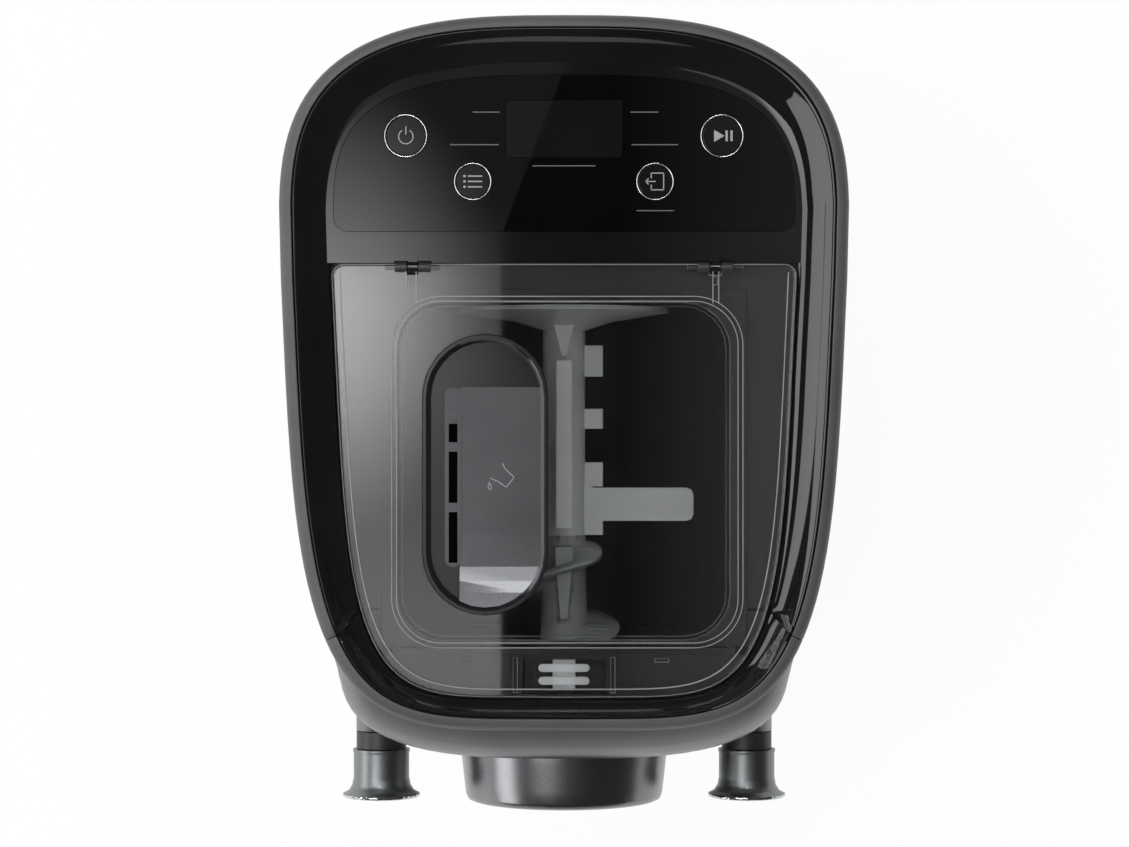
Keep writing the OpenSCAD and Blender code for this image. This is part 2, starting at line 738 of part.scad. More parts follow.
// The control panel's outline, moved in by d: an arch on a straight front edge
function panel_points(d) =
  let (w = panel_half_w - d, foot = panel_y + panel_corner, rise = panel_len - panel_corner - d)
  concat(
    [for (t = [0:5:180]) [w * spow(cos(t), 2 / panel_power), foot + rise * pow(sin(t), 2 / panel_power)]],
    arc(-w + panel_corner - d, panel_y + panel_corner, panel_corner - d, 180, 270, 4),
    arc(w - panel_corner + d, panel_y + panel_corner, panel_corner - d, 270, 360, 4)
  );

// Glossy slope from the rim down to the deck. The share runs from 0 at the rim to 1 at the lid's edge.
bezel_start = rim_w + rest_gap;
lid_gap = 0.6;
slope = [
  [0, 0.9], [0.04, 0.4], [0.12, 1], [0.3, 3.7], [0.5, 6.7], [0.7, 8.9], [0.84, 9.7], [0.92, 9.9], [0.935, 10.3], [1, 10.5]
];
slope_back = [0.85, 0.7, 0.5, 0.3, 0.15, 0.05, 0];
function bezel_section(t, foot_z) = concat(
  [for (p = slope) let (q = across(t, p[0])) [q[0], q[1], body_h - p[1] * deck_drop / 10]],
  [for (w = [1, 0.85]) let (q = across(t, w)) [q[0], q[1], foot_z]],
  [for (w = slope_back) let (q = across(t, w)) [q[0], q[1], deck_z + mix(4.5, -2.6, w / 0.85)]]
);

hinge_x = 65;
hinge_y = lid_back_y - lid_t / 2;
hinge_z = lid_top - lid_t / 2;
knuckle_r = hinge_pin_r + 1.4;
knuckle_len = 5;
ear_w = 4;
hinge_reach = ear_w / 2 + 0.5 + knuckle_len;

module top_deck() {
  edge_y = lid_back_y + 0.5;
  foot_z = tray_z + rest_gap;
  side_x = across(0, 0.95)[0];
  color("#0b0c0d") {
    difference() {
      union() {
        skin([for (t = rear_ts) bezel_section(t, foot_z)]);
        slab(concat([[side_x, edge_y]], [for (t = [0:outline_step:180]) across(t, 0.88)],
                    [[-side_x, edge_y]]), deck_z - deck_t, deck_z);
        block(-side_x + 4, side_x - 4, edge_y, edge_y + 2, foot_z, deck_z - 1);
      }
      slab(panel_points(-fit_gap), deck_z - panel_t, deck_z + 1);
      slab(panel_points(4), deck_z - deck_t - 1, deck_z + 1);
      for (s = [-1, 1])
        bar_x(knuckle_r + 0.5, s * hinge_x - hinge_reach - 0.5, s * hinge_x + hinge_reach + 0.5, hinge_y, hinge_z);
    }
    for (s = [-1, 1])
      difference() {
        union() {
          bar_x(knuckle_r, s * hinge_x - ear_w / 2, s * hinge_x + ear_w / 2, hinge_y, hinge_z);
          block(s * hinge_x - ear_w / 2, s * hinge_x + ear_w / 2, hinge_y, edge_y + 3,
                hinge_z - knuckle_r, hinge_z + 0.6);
        }
        bar_x(hinge_pin_r + run_gap / 2, s * hinge_x - ear_w, s * hinge_x + ear_w, hinge_y, hinge_z);
      }
  }
}

module hinge_pins() {
  color("#c2c5c8")
    for (s = [-1, 1])
      bar_x(hinge_pin_r, s * hinge_x - hinge_reach + 0.5, s * hinge_x + hinge_reach - 0.5, hinge_y, hinge_z);
}

// Black tray under the lid's edge, open in the middle for the chamber
ledge_y = across(front_start, 1)[1];
flange = 3;
module lid_tray() {
  color("#161718")
    difference() {
      intersection() {
        slab([for (t = all_ts) across(t, 0.9)], tray_z - tray_t, tray_z);
        block(-body_w / 2, body_w / 2, ledge_y + 3 * rest_gap, lid_back_y + 6, tray_z - 5, tray_z + 5);
      }
      block(-tub_r - tub_wall - 0.6, tub_r + tub_wall + 0.6, part_y - 60, tub_back_y + tub_wall + 0.6,
            tray_z - 5, tray_z + 5);
    }
}

module control_panel() {
  color("#050506")
    difference() {
      union() {
        slab(panel_points(0), deck_z - panel_t + 0.1, deck_z + 0.2);
        for (s = [-1, 1], y = [button_row_y - 8, panel_crown_y - 22])
          bar_z(2.5, control_z + control_t, deck_z - panel_t + 0.2, s * 54, y);
      }
      for (b = buttons)
        bar_z(b[2] + run_gap, deck_z - 10, deck_z + 1, b[0], b[1]);
      slab(rounded(-display_w / 2 - 0.1, display_w / 2 + 0.1, display_y - display_l / 2 - 0.1,
                   display_y + display_l / 2 + 0.1, 1), deck_z - 5, deck_z + 1);
    }
}

module display_window() {
  color("#222426")
    slab(rounded(-display_w / 2, display_w / 2, display_y - display_l / 2, display_y + display_l / 2, 1),
         deck_z - 1.5, deck_z + 0.15);
}

module lcd_module() {
  color("#33373a")
    slab(rounded(-display_w / 2 - 3, display_w / 2 + 3, display_y - display_l / 2 - 3, display_y + display_l / 2 + 3, 1),
         control_z + control_t, deck_z - panel_t);
}

module button_rings() {
  color("#c9cbce")
    for (b = buttons)
      difference() {
        bar_z(b[2], deck_z - panel_t, deck_z + 0.35, b[0], b[1]);
        bar_z(b[2] - ring_w, deck_z - 5, deck_z + 5, b[0], b[1]);
      }
}

module button(i) {
  b = buttons[i];
  color("#0a0a0b") {
    bar_z(b[2] - ring_w - fit_gap, deck_z - panel_t, deck_z + 0.1, b[0], b[1]);
    bar_z(3, control_z + control_t + 3.6 + button_travel + 0.1, deck_z - panel_t + 0.5, b[0], b[1]);
  }
}

// ---------------------------------------------------------------- lid

// The lid's outline, moved in by d: two round corners at the back, the rim's own curve elsewhere
lid_corner = 5.2;
lid_start = asin(pow((widest_y - lid_back_y + lid_corner) / (body_front - lid_inset_front), lid_power / 2));
lid_count = 44;
lid_span = 180 - 2 * lid_start;
function lid_points(d) =
  let (
    side = [for (i = [0:lid_count]) edge_curve(180 + lid_start + i * lid_span / lid_count, d)],
    x = side[lid_count][0] - lid_corner + d,
    y = lid_back_y - lid_corner
  )
  concat(arc(x, y, lid_corner - d, 5, 90, 4), arc(-x, y, lid_corner - d, 90, 175, 4), side);

well_y = lid_back_y - 90.5;
well_half = well_len / 2 - well_r;
collar_x = tub_r - 1.6;
well_x = 37.5 - collar_x;
collar_t = 1.6;
rib_t = 1.8;
grip_half = 21;

module lid() {
  color("#aeb4b8", 0.35)
    difference() {
      union() {
        skin([
          for (p = [[0.5, lid_under], [0, lid_under + 0.5], [0, lid_top - 0.8], [0.3, lid_top - 0.25], [1, lid_top]])
            level(lid_points(p[0]), p[1])
        ]);
        difference() {
          slab(rounded(-collar_x, collar_x, tub_front_y + 2.4, tub_back_y - 1.6, 20), lid_under - collar_h, lid_under + 1);
          slab(rounded(-collar_x + collar_t, collar_x - collar_t, tub_front_y + 2.4 + collar_t,
                       tub_back_y - 1.6 - collar_t, 20 - collar_t), lid_under - collar_h - 1, lid_under + 0.4);
        }
        for (s = [-1, 1]) {
          block(s * hinge_x - rib_t / 2, s * hinge_x + rib_t / 2, tub_back_y + 6, hinge_y - 4, lid_under - 3, lid_under + 1);
          block(s * grip_half - rib_t / 2, s * grip_half + rib_t / 2, rim_front_y + lid_inset_front + 2,
                tub_front_y - 5, lid_under - 3, lid_under + 1);
          block(s * 2 * grip_half - 3, s * 2 * grip_half + 3, tub_front_y - 7, tub_front_y - 5.6, lid_under - 2.6, lid_under + 1);
          for (k = [-1, 1])
            bar_x(knuckle_r, s * hinge_x + k * (ear_w / 2 + 0.5 + knuckle_len / 2) - knuckle_len / 2,
                  s * hinge_x + k * (ear_w / 2 + 0.5 + knuckle_len / 2) + knuckle_len / 2, hinge_y, hinge_z);
        }
        for (y = [rim_front_y + 21.5, rim_front_y + 27])
          slab([for (p = slot_points(0, 0, 1.6, 9.3, 6)) [p[1], y + p[0]]], lid_top - 0.5, lid_top + 0.9);
      }
      slab(slot_points(well_x, well_y, well_r - 0.9, well_half), lid_under - 10, lid_top + 5);
      for (s = [-1, 1]) {
        block(s * hinge_x - ear_w / 2 - 0.5, s * hinge_x + ear_w / 2 + 0.5, hinge_y - knuckle_r - 0.9, lid_back_y + 5,
              lid_under - 5, lid_top + 5);
        bar_x(hinge_pin_r + run_gap, s * hinge_x - 12, s * hinge_x + 12, hinge_y, hinge_z);
      }
    }
}

// Sections round a slot with straight sides along Y, for a profile of [distance from its middle line, z]
function round_slot(x, y, half_len, profile, steps = 14) = [
  for (i = [2 * steps + 1:-1:0])
    let (back = i <= steps, a = back ? 180 * i / steps : 180 + 180 * (i - steps - 1) / steps, cy = y + (back ? 1 : -1) * half_len)
      [for (p = profile) [x + p[0] * cos(a), cy + p[0] * sin(a), p[1]]]
];

// The slit through which the poured liquid runs, its bridges and its raised edge
slit_x = well_x - 14.1;
slit_y = well_y - 1.3;
slit_half = 38.9;
slit_w = 3.8;
// Each gap between the bridges: first and last y, from the slit's middle
slit_gaps = [[-37, -15.1], [-11.1, 11.1], [15.1, 26.6]];

// Side view of the floor beside the slit, as [y from the well's middle, height]: a step at the back, a ramp at the front
well_ramp = [
  [37.7, -0.5], [37.7, 1], [24.8, 1], [24.8, 0.5], [-26, 0.5], [-33, 0.8], [-40, 1.6], [-46, 2.8], [-51, 4.2], [-57.5, 6.6],
  [-57.5, -0.5]
];

module pouring_well() {
  lip = lid_top + 0.9;
  floor_z = lip - well_depth;
  color("#2b2d2f")
    difference() {
      union() {
        skin(round_slot(well_x, well_y, well_half, [
          [well_r - 1.9, floor_z - 2], [well_r - 1.5, lid_under - 1.5], [well_r - 1.2, lid_top + 0.05],
          [well_r, lid_top + 0.05], [well_r, lip - 0.5], [well_r - 0.5, lip], [well_r - 1.7, lip],
          [well_r - 2.6, lip - 0.8], [well_r - 3, lip - 5], [well_r - 3.4, floor_z]
        ]), true);
        slab(slot_points(well_x, well_y, well_r - 2.6, well_half), floor_z - 2, floor_z);
        intersection() {
          slab(slot_points(well_x, well_y, well_r - 3.1, well_half), floor_z - 1, lip);
          translate([slit_x + slit_w / 2 + 1, 0, 0]) rotate([90, 0, 90]) linear_extrude(2 * well_r)
            polygon([for (p = well_ramp) [well_y + p[0], floor_z + p[1]]]);
        }
        slab(slot_points(slit_x, slit_y, slit_w / 2 + 1.7, slit_half - slit_w / 2 - 1.7), floor_z - 1, floor_z + 1.2);
      }
      for (g = slit_gaps)
        block(slit_x - slit_w / 2, slit_x + slit_w / 2, slit_y + g[0], slit_y + g[1], floor_z - 5, floor_z + 5);
    }
}

module lid_seal() {
  color("#4a4c4e")
    difference() {
      slab(rounded(-collar_x - 3.4, collar_x + 3.4, tub_front_y + 0.4, tub_back_y + 1.8, 23), lid_under - 0.8, lid_under - 0.05);
      slab(rounded(-collar_x - 0.2, collar_x + 0.2, tub_front_y + 2.2, tub_back_y - 1.4, 20.2), lid_under - 2, lid_under + 1);
    }
}

// ---------------------------------------------------------------- mixing chamber

// Upright cross-section: a half round bottom under straight sides, as [x, z] from the shaft's axis
function bowl(r, top) = concat(arc(0, 0, r, 180, 360, 28), [[r, top], [-r, top]]);

module along_y(points, y0, y1) {
  translate([0, y1, axis_z]) rotate([90, 0, 0]) linear_extrude(y1 - y0) polygon(points);
}

tub_top = lid_under - 1;
// Radius of the corners of the chamber's mouth
rim_corner = 21.6;

module mixing_chamber() {
  color("#222426")
    difference() {
      union() {
        along_y(bowl(tub_r + tub_wall, tub_top - axis_z), tub_front_y, tub_back_y + tub_wall);
        block(-tub_r - tub_wall - flange, tub_r + tub_wall + flange, tub_front_y, tub_back_y + tub_wall + 1.4,
              tray_z + rest_gap, tub_top);
      }
      along_y(bowl(tub_r, tray_z + rest_gap - axis_z), tub_front_y - 1, tub_back_y);
      slab(rounded(-tub_r, tub_r, tub_front_y + rest_gap, tub_back_y, rim_corner), tray_z - 1, tub_top + 1);
      block(-tub_r + rim_corner, tub_r - rim_corner, tub_front_y - 1, tub_front_y + 5, tray_z - 1, tub_top + 1);
      bar_y(output_r + 4 + run_gap, tub_back_y - 1, tub_back_y + tub_wall + 1, 0, axis_z);
    }
}

module shaft_seal() {
  color("#8a3b2f") sleeve(output_r + run_gap, output_r + 4, tub_back_y + 0.1, tub_back_y + tub_wall, 0, axis_z);
}

// ---------------------------------------------------------------- kneading shaft and screw

screw_y = tub_front_y + 45;
screw_end_y = nose_y + 24;
drive_flat = 10;
drive_len = 17;
paddle_y = tub_front_y + 59;

module hexagon_y(flat, y0, y1) {
  translate([0, y0, axis_z]) rotate([-90, 30, 0]) cylinder(r = flat / sqrt(3), h = y1 - y0, $fn = 6);
}

// One flat paddle, turned about the shaft by angle
module paddle(y, angle) {
  half = paddle_w / 2;
  translate([0, y, axis_z]) rotate([0, angle, 0]) translate([0, 0, -paddle_t / 2])
    linear_extrude(paddle_t)
      polygon([[core_r - 2, -half - 2], [core_r + 4, -half], [paddle_r - 3, -half], [paddle_r - 0.9, -half + 0.9],
               [paddle_r, -half + 3], [paddle_r, half - 3], [paddle_r - 0.9, half - 0.9], [paddle_r - 3, half],
               [core_r + 4, half], [core_r - 2, half + 2]]);
}

module kneading_shaft() {
  disc_y = tub_back_y - 1.5;
  blade_t = 7;
  color("#7d8083")
    difference() {
      union() {
        turned([[0, disc_y], [tub_r * 0.65, disc_y], [tub_r * 0.65, disc_y - 1.8], [tub_r * 0.3, disc_y - 6],
                [core_r, disc_y - 10], [core_r, screw_y], [0, screw_y]], 0, axis_z);
        paddle(paddle_y, 0);
        paddle(paddle_y + 44, 180);
        paddle(paddle_y + 22, 90);
        block(-blade_t / 2, blade_t / 2, screw_y + 4, disc_y - 24, axis_z + core_r - 3, axis_z + 26);
        translate([0, 0, axis_z + core_r - 3]) linear_extrude(9)
          polygon([[-4.5, disc_y - 8], [4.5, disc_y - 8], [1, disc_y - 22], [-1, disc_y - 22]]);
        for (p = [[65, 14], [38.8, 9], [13.5, 11], [-10.4, 7]])
          block(core_r - 2, core_r + 8, paddle_y + p[0] - p[1] / 2, paddle_y + p[0] + p[1] / 2,
                axis_z - 2.5, axis_z + 2.5);
      }
      hexagon_y(drive_flat + 0.2, disc_y - drive_len, disc_y + 1);
    }
}

// The screw's flight: a strip of four-sided sections that climbs one pitch a turn
flight_r = tube_r - screw_gap;
flight_turn = 15;
module flight(y0, y1) {
  steps = floor((y0 - y1) / screw_pitch * 360 / flight_turn);
  skin([
    for (i = [0:steps])
      let (a = i * flight_turn, y = y0 - i * flight_turn / 360 * screw_pitch, grow = min(1, (i + 1) / 5), r = mix(core_r + 2, flight_r, grow))
        [for (p = [[core_r - 1.5, -flight_t * 0.7], [r, -flight_t * 0.4], [r, flight_t * 0.4], [core_r - 1.5, flight_t * 0.7]])
          [p[0] * cos(a), y + p[1], axis_z + p[0] * sin(a)]]
  ]);
}

module auger_screw() {
  color("#6d7073") {
    turned([[0, screw_y], [core_r, screw_y], [core_r + 2.4, screw_end_y], [4, screw_end_y - 1.5],
            [4, screw_end_y - 7], [0, screw_end_y - 7]], 0, axis_z);
    flight(screw_y - 5, screw_end_y + 4);
    translate([0, 0, axis_z + core_r - 3]) linear_extrude(10)
      polygon([[-4, screw_y - 5], [4, screw_y - 5], [4, screw_y - 9], [1.6, screw_y - 37], [-1.6, screw_y - 37], [-4, screw_y - 9]]);
  }
}

module output_shaft() {
  end_y = tub_back_y - 1.5;
  color("#b4b7ba") {
    bar_y(output_r, end_y + 0.8, cover_y + bearing_t - 0.5, 0, axis_z);
    hexagon_y(drive_flat, end_y - drive_len + 1, end_y + 1);
  }
}

// ---------------------------------------------------------------- removable front

front_bulge = 15;
bulge_power = 3.1;
panel_top = body_h - rim_band - rest_gap;
// The front's bulge seen from above, for a share s that runs from its left end, 0, to its right end, 1
function bulge(s) =
  let (a = 180 + 180 * s, u = pow(abs(sin(a)), 2 / bulge_power), half = abs(outline(front_start)[0]))
  [half * (1 - 0.02 * u - 0.23 * u * pow(1 - u, 3)) * spow(cos(a), 2 / bulge_power), outline(front_start)[1] - (outline(front_start)[1] - rim_front_y + front_bulge) * u];
function front_curve(t, w) = mix(outline(t), bulge((t - front_start) / front_span), w);
function front_point(t, w, d) =
  let (
    t0 = max(front_start, t - 1),
    t1 = min(front_start + front_span, t + 1),
    step = front_curve(t1, w) - front_curve(t0, w)
  )
  front_curve(t, w) + [-step[1], step[0]] / norm(step) * d;

// How far the front bulges at each height: [depth below the rim, share]
swell = [
  [rim_band + rest_gap, 0], [rim_band + 2.5, 0.22], [rim_band + 6, 0.55], [rim_band + 10.5, 0.83], [rim_band + 15, 0.98],
  [rim_band + 19, 1.02], [rim_band + 26, 1], [rim_band + 50, 0.88], [shaft_depth + 40, 0.8], [body_h - split_z - 14, 0.72],
  [body_h - split_z - 4, 0.62], [body_h - split_z - rest_gap, 0.48]
];
front_wall = 3;
head_r = ring_r + 2.6;
head_y = rim_front_y - 11.7;

module front_panel() {
  color("#5a5c5e")
    difference() {
      union() {
        skin([
          for (p = swell)
            let (z = body_h - p[0], d = draft_at(z))
              level(concat([for (t = front_ts) front_point(t, p[1], d)],
                           [for (i = [len(front_ts) - 1:-1:0]) front_point(front_ts[i], p[1], d + front_wall)]), z)
        ]);
        slab([for (t = front_ts) front_point(t, 0.5, draft_at(split_z) + 1.5)], split_z + rest_gap + 0.1, split_z + 3);
        for (s = [-1, 1]) {
          bar_y(knob_r - 1.2, head_y + 4.4, rim_front_y + 12, s * knob_x, axis_z);
          bar_y(7, rim_front_y + 10, frame_y - 2.5, s * knob_x, axis_z);
        }
      }
      bar_y(head_r, nose_y, rim_front_y + 30, 0, axis_z);
      for (s = [-1, 1]) {
        bar_y(stud_r + 0.6, nose_y, frame_y + 1, s * knob_x, axis_z);
        bar_y(knob_r - 1.2, nose_y - 20, head_y + 4.4, s * knob_x, axis_z);
      }
    }
}

module front_rim() {
  color("#3b3c3d")
    skin([for (t = front_ts) wall_section(t, rim_crown)]);
}

recess_half = 18;
recess_depth = 8;
recess_y = tub_front_y - 6;

// Glossy front arc of the slope, with the ledge and the finger recess under the lid
module front_bezel() {
  color("#0b0c0d")
    difference() {
      union() {
        skin([for (t = front_ts) bezel_section(t, tray_z - tray_t)]);
        slab([for (t = front_ts) across(t, 0.95)], tray_z - tray_t, tray_z);
        block(-recess_half - 2, recess_half + 2, rim_front_y + lid_inset_front - 1, recess_y + 2,
              tray_z - tray_t - recess_depth - 1, tray_z - 1);
      }
      block(-recess_half, recess_half, rim_front_y + lid_inset_front + 1, recess_y, tray_z - recess_depth, body_h);
      block(-tub_r - tub_wall - flange - 0.6, tub_r + tub_wall + flange + 0.6, tub_front_y - 4, back_y, tray_z - 30, tray_z + 5);
    }
}

module latch_plate() {
  color("#d2d4d6")
    block(-5, 5, rim_front_y + lid_inset_front + 2.6, recess_y - 0.4, tray_z - recess_depth, tray_z - recess_depth + 1.2);
}

door_t = 2.8;
door_y = tub_front_y - 1.2 - door_t;
module chamber_door() {
  color("#1c1d1e")
    difference() {
      along_y(bowl(tub_r + 1, tray_z - 0.5 - axis_z), door_y, door_y + door_t);
      bar_y(tube_r + tube_wall + 0.2, door_y - 1, door_y + door_t + 1, 0, axis_z);
    }
}

module door_seal() {
  color("#8a8d90")
    difference() {
      along_y(bowl(tub_r + 1, tray_z - 0.5 - axis_z), door_y + door_t, tub_front_y - 0.2);
      along_y(bowl(tub_r - 2.5, tray_z + 5 - axis_z), door_y + door_t - 1, tub_front_y + 1);
    }
}

disc_y = nose_y + 8.3 + disc_t;
neck_r = tube_r + tube_wall + 4.5;

module extruding_tube() {
  color("#2a2b2d")
    turned([[tube_r, disc_y + 0.3], [neck_r, disc_y + 0.3], [neck_r, head_y], [head_r - 0.4, head_y],
            [head_r - 0.4, head_y + 3], [tube_r + tube_wall, head_y + 3], [tube_r + tube_wall, door_y + door_t],
            [tube_r, door_y + door_t]], 0, axis_z);
}

// Disc with two circles of holes and a hub that steadies the screw's tip
module shaping_disc() {
  color("#d9d4c6")
    difference() {
      turned([[0, disc_y - disc_t], [neck_r - 0.2, disc_y - disc_t], [neck_r - 0.2, disc_y], [8, disc_y],
              [8, screw_end_y - 2.5], [4.1, screw_end_y - 2.5], [4.1, screw_end_y - 8], [0, screw_end_y - 8]], 0, axis_z);
      for (c = [[21.5, 14], [14.5, 9]], i = [0:c[1] - 1])
        let (a = i * 360 / c[1])
          bar_y(die_hole_r, disc_y - disc_t - 1, disc_y + 1, c[0] * cos(a), axis_z + c[0] * sin(a));
    }
}

module locking_ring() {
  front_r = ring_r - ring_taper;
  thread_r = neck_r + rest_gap;
  back_y = head_y - 0.4;
  color("#4d4f52")
    turned([[thread_r, back_y], [ring_r, back_y], [ring_r, back_y - 1.6], [front_r, nose_y + 3], [front_r - 0.9, nose_y + 0.9],
            [front_r - 3, nose_y], [mouth_r + 4, nose_y], [mouth_r, nose_y + 4], [mouth_r, disc_y - disc_t - rest_gap],
            [thread_r, disc_y - disc_t - rest_gap]], 0, axis_z);
}

// ---------------------------------------------------------------- locking knobs

knob_back_y = knob_y + knob_len;

module collar(s) {
  color("#2f3133") sleeve(stud_r + rest_gap, knob_r - 1.3, knob_back_y + 0.3, head_y + 4, s * knob_x, axis_z);
}

module knob(s) {
  f = knob_flare_r;
  color("#55585a")
    turned([[0, knob_y], [f - 0.7, knob_y], [f, knob_y + 0.5], [f, knob_y + 1.5], [f - 2.6, knob_y + 2.9],
            [knob_r + 0.7, knob_y + 5.4], [knob_r, knob_y + 9], [knob_r, knob_back_y - 1.8],
            [knob_r + 0.3, knob_back_y - 1.3], [knob_r + 0.3, knob_back_y], [stud_r + run_gap / 2, knob_back_y],
            [stud_r + run_gap / 2, knob_y + 4], [0, knob_y + 4]], s * knob_x, axis_z);
}

module stud(s) {
  color("#c2c5c8") bar_y(stud_r, knob_y + 4.1, frame_y + 10, s * knob_x, axis_z);
}

// ---------------------------------------------------------------- nodes

base_plate();
feet();
load_cells();
screws();
housing();
cord_gland();
front_cover();
chassis();
knob_inserts();
lid_tray();
top_deck();
hinge_pins();
control_panel();
display_window();
lcd_module();
button_rings();
control_board();
ribbon_cable();
power_board();
safety_switches();
gearbox_plate();
gearbox_cover();
gear_axles();
bearings();
motor_case();
motor_magnets();
mixing_chamber();
shaft_seal();
lid();
pouring_well();
lid_seal();
kneading_shaft();
auger_screw();
output_shaft();
output_gear();
second_gear();
first_gear();
motor_shaft();
motor_armature();
motor_pinion();
motor_fan();
front_panel();
front_rim();
front_bezel();
latch_plate();
chamber_door();
door_seal();
extruding_tube();
shaping_disc();
locking_ring();
collar(-1);  // left_collar
knob(-1);  // left_knob
stud(-1);  // left_stud
collar(1);  // right_collar
knob(1);  // right_knob
stud(1);  // right_stud
button(0);  // power_button
button(1);  // menu_button
button(2);  // extrude_button
button(3);  // play_button
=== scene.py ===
"""Electric pasta maker seen from straight above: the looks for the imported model.

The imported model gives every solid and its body. This script finishes the solids that show, adds the
printed marks and small trim, and sets up the camera, the floor and the lights of the photograph.
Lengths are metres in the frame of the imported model, +X right, -Y front, +Z up, where nothing else is said.
"""

from __future__ import annotations

import json
import logging
import math
from dataclasses import dataclass, field
from enum import Enum
from typing import Callable, Sequence

import bmesh
import bpy
from mathutils import Matrix, Vector


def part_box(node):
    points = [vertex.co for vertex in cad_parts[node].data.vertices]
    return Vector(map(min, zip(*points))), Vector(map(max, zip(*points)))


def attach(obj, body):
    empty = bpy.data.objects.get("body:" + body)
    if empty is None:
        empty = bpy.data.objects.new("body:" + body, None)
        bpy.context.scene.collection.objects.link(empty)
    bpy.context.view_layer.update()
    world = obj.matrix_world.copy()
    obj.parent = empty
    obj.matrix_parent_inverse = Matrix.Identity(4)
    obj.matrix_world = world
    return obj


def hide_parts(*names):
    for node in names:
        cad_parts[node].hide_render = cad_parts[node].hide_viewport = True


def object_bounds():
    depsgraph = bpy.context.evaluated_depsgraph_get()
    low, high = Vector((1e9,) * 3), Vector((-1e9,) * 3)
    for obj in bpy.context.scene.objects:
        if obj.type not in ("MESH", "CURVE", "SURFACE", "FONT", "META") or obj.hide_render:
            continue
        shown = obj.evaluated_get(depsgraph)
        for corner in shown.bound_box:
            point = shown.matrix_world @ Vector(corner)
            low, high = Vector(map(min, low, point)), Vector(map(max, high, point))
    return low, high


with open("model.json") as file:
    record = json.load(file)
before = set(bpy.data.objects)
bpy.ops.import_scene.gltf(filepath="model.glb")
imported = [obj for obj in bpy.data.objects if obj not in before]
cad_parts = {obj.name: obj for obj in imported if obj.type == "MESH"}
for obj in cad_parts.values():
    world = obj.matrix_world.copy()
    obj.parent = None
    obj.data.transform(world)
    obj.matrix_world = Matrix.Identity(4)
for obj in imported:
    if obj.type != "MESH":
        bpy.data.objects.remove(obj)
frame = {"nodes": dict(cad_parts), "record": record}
CAD_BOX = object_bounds()

LOG = logging.getLogger("pasta_maker")
MM = 0.001
WHITE = (1.0, 1.0, 1.0, 1.0)
Point = tuple[float, float, float]
Span = tuple[float, float]
Piece = bpy.types.Object
Face = bmesh.types.BMFace
Tree = bpy.types.NodeTree
Node = bpy.types.Node
Socket = bpy.types.NodeSocket


# ---------------------------------------------------------------- materials


def linear(hex_colour: str) -> tuple[float, float, float, float]:
    """Turn six sRGB hex digits, such as "3c3d3e", to linear red, green and blue, and a full alpha."""
    parts = [int(hex_colour[i : i + 2], 16) / 255 for i in (0, 2, 4)]
    r, g, b = (c / 12.92 if c <= 0.04045 else ((c + 0.055) / 1.055) ** 2.4 for c in parts)
    return (r, g, b, 1.0)


def add_node(tree: Tree, kind: str, settings: dict | None = None, links: dict | None = None) -> Node:
    """Add one shader node with its settings and its links.

    Args:
        tree: the node tree that it joins.
        kind: Blender's name for the node's type.
        settings: socket names or attribute names, and their values.
        links: input names, and the output socket that each takes.

    Returns:
        The new node.
    """
    node = tree.nodes.new(kind)
    for name, value in (settings or {}).items():
        if name in node.inputs:
            node.inputs[name].default_value = value
        else:
            setattr(node, name, value)
    for name, source in (links or {}).items():
        tree.links.new(source, node.inputs[name])
    return node


def ramp(tree: Tree, source: Socket, stops: Sequence[tuple[float, str]]) -> Socket:
    """Turn a grey value into a colour between stops, each a position and hex digits."""
    node = add_node(tree, "ShaderNodeValToRGB", links={"Fac": source})
    while len(node.color_ramp.elements) < len(stops):
        node.color_ramp.elements.new(1.0)
    for element, (place, colour) in zip(node.color_ramp.elements, stops, strict=True):
        element.position = place
        element.color = linear(colour)
    return node.outputs["Color"]


def noise(tree: Tree, place: Socket, size: float, detail: float) -> Socket:
    """Give a cloudy grey value, from coordinates, the size of its patches and how fine it goes."""
    settings = {"Scale": 1 / size, "Detail": detail}
    return add_node(tree, "ShaderNodeTexNoise", settings, {"Vector": place}).outputs["Fac"]


def map_range(tree: Tree, value: Socket, source: Span, target: Span, curve: str = "LINEAR") -> Socket:
    """Carry a value from a source range over to a target range, along a curve."""
    settings = {"interpolation_type": curve, "From Min": source[0], "From Max": source[1]}
    settings |= {"To Min": target[0], "To Max": target[1]}
    return add_node(tree, "ShaderNodeMapRange", settings, {"Value": value}).outputs["Result"]


def combine(tree: Tree, operation: str, first: Socket, second: Socket, clamp: bool = False) -> Socket:
    """Join two values by one operation, kept between 0 and 1 if clamped."""
    node = add_node(tree, "ShaderNodeMath", {"operation": operation, "use_clamp": clamp})
    tree.links.new(first, node.inputs[0])
    tree.links.new(second, node.inputs[1])
    return node.outputs["Value"]


def mix(tree: Tree, share: Socket, first: Node, second: Node) -> Node:
    """Mix two shaders by the share of the second."""
    node = add_node(tree, "ShaderNodeMixShader", links={"Fac": share})
    tree.links.new(first.outputs[0], node.inputs[1])
    tree.links.new(second.outputs[0], node.inputs[2])
    return node


def bare_tree(owner: bpy.types.Material | bpy.types.World) -> Tree:
    """Give a material or a world an empty node tree."""
    owner.use_nodes = True
    owner.node_tree.nodes.clear()
    return owner.node_tree


